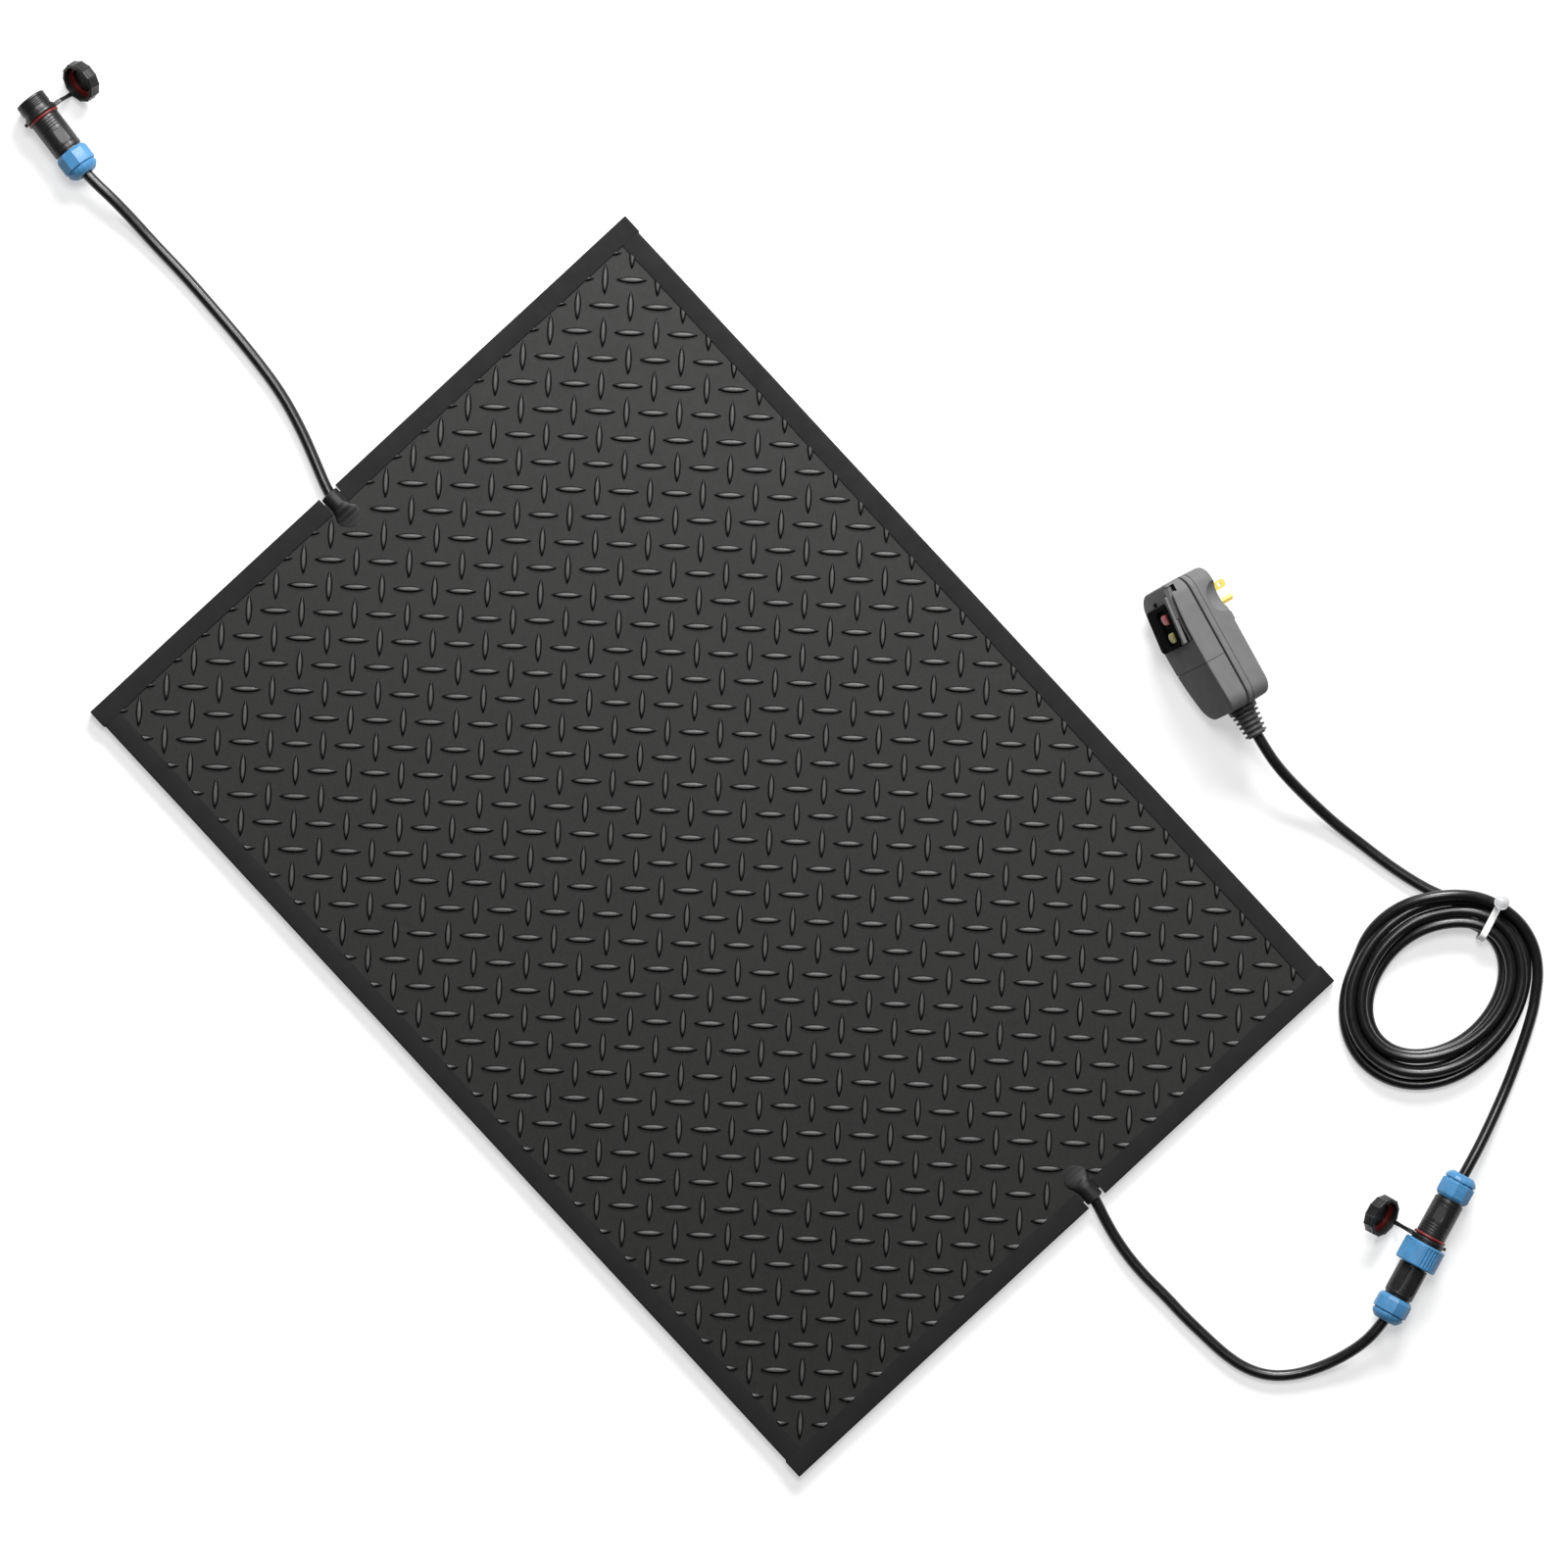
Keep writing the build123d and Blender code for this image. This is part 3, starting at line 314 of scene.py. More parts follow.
FINISHES = {
    "hem_rubber": dict(colour=grey(0.01), rough=0.72, mottle=0.1, mottle_size=30.0, grain_size=0.55,
                       specular=0.2),
    "core_foam": dict(colour=grey(0.1), rough=0.85, grain=0.6, grain_size=0.9),
    "heating_jacket": dict(colour=(0.5, 0.08, 0.05), rough=0.45),
    "splice_resin": dict(colour=(0.06, 0.06, 0.07), rough=0.35),
    "metal_can": dict(colour=(0.7, 0.7, 0.72), rough=0.3, metallic=1.0),
    "cord_jacket": dict(colour=(0.007, 0.007, 0.0075), rough=0.3, mottle=0.2, mottle_size=9.0,
                        grain=0.02, grain_size=3.0, depth=0.03, rough_spread=0.03, stretch=(1, 1, 0.3)),
    "connector_black": dict(colour=grey(0.011), rough=0.38, mottle=0.15, mottle_size=5.0, grain=0.1,
                            grain_size=0.45, depth=0.05, specular=0.4),
    "connector_blue": dict(colour=(0.055, 0.195, 0.38), rough=0.4, mottle=0.1, mottle_size=6.0,
                           grain=0.1, grain_size=0.6, depth=0.05, specular=0.35),
    "seal_red": dict(colour=(0.13, 0.01, 0.009), rough=0.42, mottle=0.2, mottle_size=2.0),
    "seal_black": dict(colour=grey(0.018), rough=0.6),
    "contact_brass": dict(colour=(0.9, 0.66, 0.16), rough=0.33, mottle_size=3.0, grain=0.1,
                          grain_size=0.4, metallic=0.45),
    "washer_steel": dict(colour=grey(0.6), rough=0.3, metallic=1.0),
    "plug_grey": dict(colour=grey(0.125), rough=0.55, mottle=0.06, mottle_size=9.0, grain=0.3,
                      grain_size=0.5, depth=0.06, specular=0.08),
    "bezel_black": dict(colour=grey(0.004), rough=0.8, grain=0.15, specular=0.02),
    "reset_red": dict(colour=(0.5, 0.045, 0.055), rough=0.38, mottle=0.08, mottle_size=3.0),
    "test_olive": dict(colour=(0.42, 0.37, 0.095), rough=0.38, mottle=0.08, mottle_size=3.0),
    "board_green": dict(colour=(0.02, 0.14, 0.05), rough=0.4),
    "part_dark": dict(colour=grey(0.065), rough=0.42, specular=0.3),
    "spring_steel": dict(colour=grey(0.5), rough=0.3, metallic=1.0),
    "tie_white": dict(colour=(0.78, 0.78, 0.76), rough=0.45, mottle=0.05, mottle_size=3.0, grain=0.3,
                      grain_size=0.8),
    "knob_clear": dict(colour=(0.9, 0.91, 0.92), rough=0.09, mottle=0.03, mottle_size=2.0, grain=0.0,
                       transmission=0.6, rough_spread=0.04),
}
MATERIALS = {name: make_finish(name, **values) for name, values in FINISHES.items()}
MATERIALS["mat_rubber"] = tread_finish()

# The sleeves are moulded with the tread, so they match it and not the hems
SLEEVE_RUBBER = make_finish("sleeve_rubber", (0.012, 0.012, 0.0117), 0.47, mottle=0.1, grain=0.15,
                            specular=0.27)


def dress_nodes():
    """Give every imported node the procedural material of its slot."""
    for row in frame["record"]["subparts"]:
        node = frame["nodes"][row["node"]]
        node.data.materials.clear()
        node.data.materials.append(MATERIALS[row["material_slot"]])


dress_nodes()

# Camera and studio

VIEW_CENTRE = Vector((2.3, 69.4, 10.0)) * MM
IMAGE_RIGHT = Vector((0.68, 0.7332, 0.0)).normalized()
IMAGE_UP = Vector((-0.7332, 0.68, 0.0)).normalized()
FRAME_WIDTH = 1.145
LENS = 150.0
SENSOR = 36.0
CLIP_END = 30.0
FLOOR_HALF = 8.0
FLOOR_DROP = 0.0004
FLOOR_TONE = 0.48
FLOOR_GLOW = 0.52
WORLD_LIGHT = 0.04

# Across and up in the image, height and size of each light in metres, and its power in watts
SOFTBOXES = {"top": (0.2, 1.8, 4.8, (2.2, 1.6), 165), "key": (0.5, 2.3, 1.7, (1.4, 0.7), 135)}


def add_camera():
    data = bpy.data.cameras.new("camera")
    data.lens = LENS
    data.sensor_width = SENSOR
    data.clip_end = CLIP_END
    camera = bpy.data.objects.new("camera", data)
    turn = Matrix((IMAGE_RIGHT, IMAGE_UP, Vector((0, 0, 1)))).transposed().to_4x4()
    turn.translation = VIEW_CENTRE + Vector((0, 0, FRAME_WIDTH * LENS / SENSOR))
    camera.matrix_world = turn
    bpy.context.scene.collection.objects.link(camera)
    bpy.context.scene.camera = camera


def add_softbox(name, across, up, height, size, power):
    """An area light aimed at the middle of the view."""
    data = bpy.data.lights.new(name, "AREA")
    data.shape = "RECTANGLE"
    data.size, data.size_y = size
    data.energy = power
    light = bpy.data.objects.new(name, data)
    spot = VIEW_CENTRE + IMAGE_RIGHT * across + IMAGE_UP * up + Vector((0, 0, height))
    aim = (VIEW_CENTRE - spot).to_track_quat("-Z", "Y")
    light.matrix_world = Matrix.Translation(spot) @ aim.to_matrix().to_4x4()
    bpy.context.scene.collection.objects.link(light)


def add_floor():
    """White floor that glows a little, so that only soft shadows are left on it."""
    mesh = bpy.data.meshes.new("floor")
    far = FLOOR_HALF
    mesh.from_pydata([(-far, -far, 0), (far, -far, 0), (far, far, 0), (-far, far, 0)], [], [(0, 1, 2, 3)])
    material, _, surface = shader("studio_floor")
    surface.inputs["Base Color"].default_value = (FLOOR_TONE, FLOOR_TONE, FLOOR_TONE, 1)
    surface.inputs["Roughness"].default_value = 0.9
    surface.inputs["Specular IOR Level"].default_value = 0.1
    surface.inputs["Emission Color"].default_value = (1, 1, 1, 1)
    surface.inputs["Emission Strength"].default_value = FLOOR_GLOW
    mesh.materials.append(material)
    floor = bpy.data.objects.new("floor", mesh)
    floor.location.z = -FLOOR_DROP
    bpy.context.scene.collection.objects.link(floor)


def add_world():
    world = bpy.data.worlds.new("studio")
    world.use_nodes = True
    background = world.node_tree.nodes["Background"]
    background.inputs["Color"].default_value = (1, 1, 1, 1)
    background.inputs["Strength"].default_value = WORLD_LIGHT
    bpy.context.scene.world = world


add_camera()
add_floor()
add_world()
for softbox, setting in SOFTBOXES.items():
    add_softbox(softbox, *setting)
bpy.context.scene.view_settings.view_transform = "Standard"

# Frames of the connectors

TAIL_NUT = (-670.1, -1.0)
TAIL_HEADING = 174.6
TAIL_HEIGHT = 13.05
FEED_NUT = (586.9, 124.3)
PAIR_HEADING = 108.5
PAIR_HEIGHT = 15.8
PAIR_LENGTH = 121.0


def axis_frame(point, heading, height):
    angle = math.radians(heading)
    return frame_matrix((*point, height), (0, 0, 1), (math.cos(angle), math.sin(angle), 0))


TAIL_PLACE = axis_frame(TAIL_NUT, TAIL_HEADING, TAIL_HEIGHT)
FEED_PLACE = axis_frame(FEED_NUT, PAIR_HEADING, PAIR_HEIGHT)
MAINS_NUT = tuple(FEED_PLACE @ Vector((0, 0, PAIR_LENGTH)))[:2]
MAINS_PLACE = axis_frame(MAINS_NUT, PAIR_HEADING - 180.0, PAIR_HEIGHT)

# Cords. Each route is the same line as in the CAD model.

CORD_D = 8.2
TAIL_LEAD = [
    (-369.5, -32.2, 6.4), (-382.5, -29.2, 6.3), (-399.0, -23.2, 5.2), (-426.0, -13.6, 4.3),
    (-457.5, -5.6, 4.2), (-493.5, -2.0, 4.2), (-530.8, -0.2, 4.2), (-568.8, 0.9, 4.3),
    (-600.0, 0.4, 5.2), (-624.0, 0.9, 8.0), (-645.0, 0.5, 11.4), (-660.0, -0.7, 12.8),
    (-672.5, -0.8, 13.05),
]
FEED_LEAD = [
    (370.5, 31.6, 6.4), (382.0, 29.0, 6.3), (394.5, 25.2, 5.2), (410.0, 21.4, 4.3),
    (428.0, 18.9, 4.2), (447.0, 18.2, 4.2), (466.0, 19.3, 4.2), (486.0, 19.2, 4.2),
    (506.0, 20.4, 4.2), (525.5, 21.8, 4.2), (543.5, 25.6, 4.2), (559.5, 34.0, 4.2),
    (571.8, 47.6, 4.4), (580.4, 64.5, 5.6), (586.0, 82.0, 8.6), (588.9, 99.6, 12.6),
    (588.6, 114.0, 15.2), (586.2, 126.4, 15.8),
]
POWER_LEAD = [
    (549.2, 236.9, 15.8), (545.4, 248.6, 15.0), (540.6, 263.5, 12.4), (534.4, 280.4, 8.4),
    (527.6, 297.4, 5.3), (520.4, 313.4, 4.3), (512.6, 328.9, 4.2), (504.6, 344.0, 4.2),
    (495.8, 358.6, 4.2),
]
POWER_TAIL = [
    (409.0, 375.2, 4.2), (394.0, 368.6, 4.2), (379.5, 362.2, 4.2), (362.0, 356.9, 4.2),
    (342.0, 352.4, 4.3), (320.0, 348.8, 4.9), (298.0, 345.0, 7.4), (276.5, 343.0, 12.4),
    (256.0, 341.6, 19.2), (237.5, 341.5, 25.6), (222.0, 343.4, 30.1), (207.4, 346.6, 31.5),
]
HOLE_CENTRE = (436.0, 317.0)
HOLE = (37.5, 52.0)
CROSSING = 144.3
COIL_STEP = 15
FIRST_LANE = 4.2
LANE_PITCH = 8.3
LANE_FAN = 2.7
FAN_HEADING = -48.0
TIE_TURN = 100.5
TIE_LIFT = 0.9
TIE_SPREAD = 16.0
TIE_HOLD = 38.0
DRIFT = 0.5
DRIFT_RATE = 1.9
FLOOR_Z = 4.2

# Sways a turn, width in lanes and phase of a free strand's wandering
WANDER = ((2, 0.2, 0.6), (1, 0.16, -1.0))

# Turn angle from the crossing, lane counted outwards from the hole, and height of the centre
COIL_KEYS = [
    (-105, 4.1, 4.2), (-75, 3.9, 7.6), (-44, 3.5, 13.2), (-15, 3.45, 19.3), (0, 3.5, 19.9),
    (20, 3.7, 16.5), (40, 3.55, 9.5), (62, 3.05, 4.2), (250, 3.0, 4.2), (300, 3.0, 4.4),
    (316, 3.0, 5.5), (330, 3.0, 9.0), (346, 3.0, 12.4), (370, 2.95, 12.6), (390, 2.8, 12.6),
    (422, 2.5, 12.4), (610, 2.5, 12.4), (660, 2.4, 12.4), (690, 2.1, 12.5), (705, 2.0, 12.6),
    (735, 1.92, 12.6), (765, 1.65, 12.5), (785, 1.5, 12.4), (970, 1.5, 12.4), (1020, 1.4, 12.4),
    (1050, 1.1, 12.5), (1065, 1.0, 12.6), (1085, 0.95, 12.4), (1110, 0.95, 8.5), (1135, 1.0, 4.2),
    (1400, 1.0, 4.2), (1425, 1.25, 4.2), (1450, 1.7, 4.2), (1480, 2.0, 4.2), (1740, 2.0, 4.2),
    (1765, 2.05, 4.2),
]


def coil_points():
    """Control points round the coil: about five turns that spread where nothing ties them."""
    points = []
    for turn in range(COIL_KEYS[0][0], COIL_KEYS[-1][0] + 1, COIL_STEP):
        lane, z = eased(COIL_KEYS, turn)
        angle = math.radians(CROSSING + turn)
        edge = Vector((
            HOLE_CENTRE[0] + HOLE[0] * math.cos(angle), HOLE_CENTRE[1] + HOLE[1] * math.sin(angle)
        ))
        outward = Vector((math.cos(angle) / HOLE[0], math.sin(angle) / HOLE[1])).normalized()
        fan = max(0.0, math.cos(angle - math.radians(FAN_HEADING))) ** 2
        pitch = LANE_PITCH + LANE_FAN * fan
        drift = DRIFT * math.sin(2 * angle + turn / 360 * DRIFT_RATE)
        from_tie = (CROSSING + turn - TIE_TURN + 180) % 360 - 180
        loose = min(1.0, (z - FLOOR_Z) / CORD_D) * (1 - math.exp(-((from_tie / TIE_HOLD) ** 2)))
        lane += loose * sum(width * math.sin(waves * angle + phase) for waves, width, phase in WANDER)
        spot = edge + outward * (FIRST_LANE + (lane - 1) * pitch + drift * fan)
        lift = TIE_LIFT * math.exp(-((from_tie / TIE_SPREAD) ** 2))
        points.append((spot.x, spot.y, z + lift))
    return points


def cord_curve(name, points, body, replaces, slot="cord_jacket"):
    """A cord along one smooth spline."""
    data = bpy.data.curves.new(name, "CURVE")
    data.dimensions = "3D"
    spline = data.splines.new("NURBS")
    spline.points.add(len(points) - 1)
    for knot, (x, y, z) in zip(spline.points, points):
        knot.co = (x * MM, y * MM, z * MM, 1.0)
    spline.order_u = 3
    spline.use_endpoint_u = True
    spline.resolution_u = 8
    data.bevel_depth = CORD_D / 2 * MM
    data.bevel_resolution = 7
    data.use_fill_caps = True
    data.materials.append(MATERIALS[slot])
    cord = bpy.data.objects.new(name, data)
    bpy.context.scene.collection.objects.link(cord)
    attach(cord, body)
    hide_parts(*replaces)
    return cord


tail_cord = cord_curve("tail_cord", TAIL_LEAD, "mat", ["tail_lead"])
feed_cord = cord_curve("feed_cord", FEED_LEAD, "mat", ["feed_lead"])
power_cord = cord_curve(
    "power_cord", POWER_LEAD + coil_points() + POWER_TAIL, "power_set",
    ["power_cord_lead", "power_cord_coil", "power_cord_tail"],
)

# Mat: tread, hems and boots

SHEET_HALF = (380.0, 264.5)
SHEET_Z = (7.0, 9.0)
HEM_INNER = (366.0, 250.5)
MAT_EDGE = 381.0
EXITS = {1: 30.0, -1: -30.5}
NOTCH_HALF = 8.0
NOTCH_X = 375.0
LUG_PITCH = 27.3
LUG_ORIGIN = (-2.0, 6.0)
LUG_HALF_LENGTH = 11.5
LUG_HALF_WIDTH = 2.5
LUG_HEIGHT = 2.3
LUG_SUNK = 0.3
LUG_ROWS = 15
LUG_COLUMNS = 11
LUG_STATIONS = 13
LUG_ARC = 9
BOOT_COVER = (345.0, 13.0)
HEM_THICK = 1.0
LONG_HEM_TOP = 10.0
END_HEM_TOP = 10.2

# Distance along an end hem and share of the full section, where its end is folded shut
END_FOLD = ((264.5, 1.0), (266.1, 1.0), (266.4, 0.985), (266.5, 0.965))


def prism(outline, low, high):
    """A flat plate over an outline."""
    return tube([[(x, y, z) for x, y in outline] for z in (low, high)], IN_ROW)


def sheet_outline():
    """The sheet's outline, with a notch where each lead comes out."""
    x, y = SHEET_HALF
    outline = []
    for end in (1, -1):
        exit_y = EXITS[end]
        low, high = exit_y - end * NOTCH_HALF, exit_y + end * NOTCH_HALF
        outline += [(end * x, -end * y), (end * x, low), (end * NOTCH_X, low)]
        outline += [(end * NOTCH_X, high), (end * x, high), (end * x, end * y)]
    return outline


def lug_shape():
    """One spindle-shaped lug, pointed at both ends and rounded over the top."""
    stations = 0.99 * np.sin(np.linspace(-math.pi / 2, math.pi / 2, LUG_STATIONS))
    arc = np.linspace(0, math.pi, LUG_ARC)
    rings = []
    for u in stations:
        half = LUG_HALF_WIDTH * (1 - u**2) ** 0.8
        crown = LUG_HEIGHT * (1 - u**4) ** 0.6
        z = crown * np.sin(arc) ** 0.85
        z[0] = z[-1] = -LUG_SUNK
        rings.append(np.stack([np.full(LUG_ARC, u * LUG_HALF_LENGTH), half * np.cos(arc), z], 1))
    return np.array(rings), tube_faces(LUG_STATIONS, LUG_ARC)


def lug_spots():
    """Centres and headings of the lugs: two square lattices, one between the other."""
    spots = []
    for step, heading in ((0.0, 135.0), (LUG_PITCH / 2, 45.0)):
        for i in range(-LUG_ROWS, LUG_ROWS + 1):
            for j in range(-LUG_COLUMNS, LUG_COLUMNS + 1):
                x = LUG_ORIGIN[0] + step + i * LUG_PITCH
                y = LUG_ORIGIN[1] + step + j * LUG_PITCH
                spots.append((x, y, heading))
    return spots


def under_boot(x, y):
    end = 1 if x > 0 else -1
    return abs(x) > BOOT_COVER[0] and abs(y - EXITS[end]) < BOOT_COVER[1]


def cut_off(bm, spot, normal):
    """Remove what lies beyond a plane and close the cut; gives the closing faces."""
    geometry = bm.verts[:] + bm.edges[:] + bm.faces[:]
    cut = bmesh.ops.bisect_plane(bm, geom=geometry, plane_co=spot, plane_no=normal, clear_outer=True)
    edges = [g for g in cut["geom_cut"] if isinstance(g, bmesh.types.BMEdge)]
    return bmesh.ops.holes_fill(bm, edges=edges, sides=0)["faces"]


def clipped_to_hems(parts):
    """Cut the lugs off flush where the hems begin."""
    mesh = bpy.data.meshes.new("clip")
    mesh.from_pydata([tuple(v) for v in parts.vertices], [], parts.faces)
    bm = bmesh.new()
    bm.from_mesh(mesh)
    for axis in (0, 1):
        for side in (1, -1):
            normal = Vector((0, 0, 0))
            normal[axis] = side
            cut_off(bm, normal * HEM_INNER[axis] * MM, normal)
    bm.verts.index_update()
    points = [v.co.copy() for v in bm.verts]
    faces = [tuple(v.index for v in face.verts) for face in bm.faces]
    bm.free()
    bpy.data.meshes.remove(mesh)
    return points, faces


def add_tread():
    """Tread sheet with its diamond pattern of lugs."""
    shape, faces = lug_shape()
    tread, border = Parts(), Parts()
    tread.add(*prism(sheet_outline(), *SHEET_Z))
    reach = LUG_HALF_LENGTH * 0.75
    for x, y, heading in lug_spots():
        if abs(x) > HEM_INNER[0] + reach or abs(y) > HEM_INNER[1] + reach or under_boot(x, y):
            continue
        place = Matrix.Translation((x, y, SHEET_Z[1])) @ Matrix.Rotation(math.radians(heading), 4, "Z")
        inside = abs(x) < HEM_INNER[0] - reach and abs(y) < HEM_INNER[1] - reach
        (tread if inside else border).add(place_points(shape, place), faces)
    tread.add(*clipped_to_hems(border))
    tread.piece("tread", "mat_rubber", "mat", ["tread_sheet"], 62)


def swept(profile, stations, place):
    """A closed profile (d, z) carried along s, closed at both ends; place gives the point."""
    return tube([[place(s, d, z) for d, z in profile] for s in stations], IN_ROW)


def hem_profile(inner, outer, sheet_edge, top):
    """Strip folded over the sheets' edge: upper leaf, outer face and lower leaf."""
    return rounded_path([
        (inner, SHEET_Z[1], 0), (inner, top, 0.45), (outer, top, 1.5), (outer, 0.0, 0.9),
        (inner, 0.0, 0.3), (inner, HEM_THICK, 0), (sheet_edge, HEM_THICK, 0), (sheet_edge, SHEET_Z[1], 0),
    ])


def hem_point(axis, side, inner):
    """Placing function for a hem, with the slight unevenness of a glued strip."""
    def place(s, d, z):
        loose = 1.0 if d < inner + 1 else 0.35
        d += loose * (0.22 * math.sin(s / 43 + side) + 0.12 * math.sin(s / 17 + 2 * axis))
        z += 0.07 * math.sin(s / 57 + side * 2) * (z > 5)
        return (s, side * d, z) if axis == 1 else (side * d, s, z)
    return place


def add_hems():
    """Hem strips: one along each side, and two on each end with the lead's notch between them."""
    long_hems = Parts()
    for side in (1, -1):
        profile = hem_profile(HEM_INNER[1], SHEET_HALF[1] + HEM_THICK, SHEET_HALF[1], LONG_HEM_TOP)
        stations = np.linspace(-HEM_INNER[0] - 0.6, HEM_INNER[0] + 0.6, 90)
        long_hems.add(*swept(profile, stations, hem_point(1, side, HEM_INNER[1])))
    long_hems.piece("long_edge_hems", "hem_rubber", "mat", ["long_hems"])
    for end, label in ((1, "feed"), (-1, "tail")):
        hem = Parts()
        place = hem_point(0, end, HEM_INNER[0])
        for side in (1, -1):
            profile = hem_profile(HEM_INNER[0], MAT_EDGE, SHEET_HALF[0], END_HEM_TOP)
            start, stop = EXITS[end] + side * NOTCH_HALF, side * (SHEET_HALF[1] + 0.05)
            hem.add(*swept(profile, np.linspace(start, stop, 36), place))
            closing = rounded_path([
                (HEM_INNER[0], 0.0, 0.3), (HEM_INNER[0], END_HEM_TOP, 0.45), (MAT_EDGE, END_HEM_TOP, 1.5),
                (MAT_EDGE, 0.0, 0.9),
            ])
            middle = closing.mean(axis=0)
            rings = []
            for s, shrink in END_FOLD:
                rings.append([place(side * s, *(middle + (p - middle) * shrink)) for p in closing])
            hem.add(*tube(rings, IN_ROW))
        hem.piece(f"{label}_edge_hem", "hem_rubber", "mat", [f"{label}_end_hem"])


# Distance in from the mat's edge, half width, height of the sides, of the crown and of the foot
BOOT_KEYS = [
    (1.5, 5.9, 6.0, 11.6, 3.0), (2.3, 7.0, 6.0, 13.0, 2.0), (12.5, 7.0, 6.0, 13.0, 2.0),
    (16.5, 7.8, 7.6, 12.2, 4.0), (21.0, 9.6, 8.8, 10.5, 7.6), (25.0, 9.8, 8.8, 9.55, 8.0),
    (29.0, 7.4, 8.85, 9.2, 8.2), (33.0, 2.5, 8.9, 9.05, 8.4),
]


def add_boots():
    """Sleeve round each lead that spreads into a low hump between the lugs."""
    arc = np.linspace(0, math.pi, 21)
    for end, label in ((1, "feed"), (-1, "tail")):
        rings = []
        for u in np.linspace(BOOT_KEYS[0][0], BOOT_KEYS[-1][0], 42):
            half, side_z, crown_z, foot_z = eased(BOOT_KEYS, u)
            ring = [(half * math.cos(a), side_z + (crown_z - side_z) * math.sin(a)) for a in arc]
            ring += [(-half, foot_z), (half, foot_z)]
            x = end * (MAT_EDGE - u)
            rings.append([(x, EXITS[end] + v, z) for v, z in ring])
        name, node = f"{label}_sleeve", f"{label}_boot"
        sleeve = make_piece(name, *tube(rings, IN_ROW), "hem_rubber", "mat", [node], sharp=45)
        sleeve.data.materials[0] = SLEEVE_RUBBER


# Waterproof connectors

SHELL_R = 11.25
RING_R = 15.75
STRAP_ALONG = 54.6


def polygon_share(angles, sides, corner=0.0):
    """Radius of a polygon with its corners on the unit circle."""
    step = 2 * math.pi / sides
    return math.cos(step / 2) / np.cos((angles - math.radians(corner)) % step - step / 2)


def flattened(radius, angles, apothem, centres):
    """A circle with flats cut at the given headings."""
    for centre in centres:
        facing = np.cos(angles - math.radians(centre))
        flat = np.where(facing > 0.5, apothem / np.maximum(facing, 0.5), np.inf)
        radius = np.minimum(radius, flat)
    return radius


def add_gland_nut(label, body, place, length):
    """Nut with a ribbed dome and a ten-sided skirt."""
    corners = [
        (0.0, 5.2, 0.3), (0.0, 8.4, 1.4), (3.4, 12.0, 2.0), (5.5, 12.2, 0.4), (5.9, 11.5, 0.2),
        (6.6, 11.5, 0.2), (7.3, 13.0, 0.5), (length - 2.6, 13.0, 0.8), (length, 11.4, 0.5),
        (length, 9.1, 0), (5.0, 9.1, 0), (5.0, 5.2, 0),
    ]

    def shape(z, r, angles):
        radius = np.full(len(angles), r)
        if r < 8.0 or (5.0 < z and r < 10):
            return radius
        if z < 6.2:
            return radius - 0.16 * (0.5 + 0.5 * np.cos(18 * angles)) ** 2 * min(1.0, z / 1.5)
        share = polygon_share(angles, 10, 6.0)
        return radius * (0.12 + 0.88 * share) + (0.25 if r > 12.5 else 0.0) * share**8

    points, faces = turned(corners, place, 180, shape)
    make_piece(f"{label}_nut", points, faces, "connector_blue", body, [f"{label}_gland_nut"], sharp=24)


def add_socket(label, body, place):
    """Cable socket: waisted at the nut, with a wrench flat, fine rings, a flange and a threaded mouth."""
    corners = [
        (10.0, 6.4, 0), (10.0, 9.0, 0.3), (20.6, 9.0, 0), (20.6, 10.2, 0), (21.9, 10.2, 0.1),
        (21.9, SHELL_R, 0.4), (25.2, SHELL_R, 0.1), (25.4, 10.95, 0.1), (25.9, 10.95, 0.1),
        (26.1, SHELL_R, 0.1), (27.3, SHELL_R, 0), (27.5, SHELL_R, 0), (38.0, SHELL_R, 0), (38.2, SHELL_R, 0),
    ]
    for ring in range(4):
        z = 41.2 + 2.2 * ring
        corners += [(z - 0.3, SHELL_R, 0.08), (z, 11.02, 0.08), (z + 0.3, SHELL_R, 0.08)]
    corners += [
        (50.5, SHELL_R, 0.3), (50.5, 10.2, 0), (53.2, 10.2, 0), (53.2, 11.0, 0), (56.0, 11.0, 0),
        (56.0, 12.4, 0.3), (57.2, 12.4, 0.3), (57.2, 11.3, 0.2), (60.0, 11.3, 0.1),
    ]
    for thread in range(4):
        z = 60.2 + 1.6 * thread
        corners += [(z, 11.35, 0.1), (z + 0.35, 11.8, 0.12), (z + 0.9, 11.8, 0.12), (z + 1.25, 11.35, 0.1)]
    corners += [
        (66.7, 11.8, 0.2), (68.5, 11.8, 0.9), (68.5, 9.4, 0.35), (58.0, 9.4, 0), (58.0, 8.8, 0),
        (40.0, 8.8, 0), (40.0, 6.4, 0),
    ]

    def shape(z, r, angles):
        radius = np.full(len(angles), r)
        if 27.4 < z < 38.1 and r > 11:
            radius = flattened(radius, angles, 10.6, (16.0, 196.0))
        return radius

    points, faces = turned(corners, place, 144, shape)
    name, node = f"{label}_socket_shell", f"{label}_socket_body"
    make_piece(name, points, faces, "connector_black", body, [node], sharp=28)


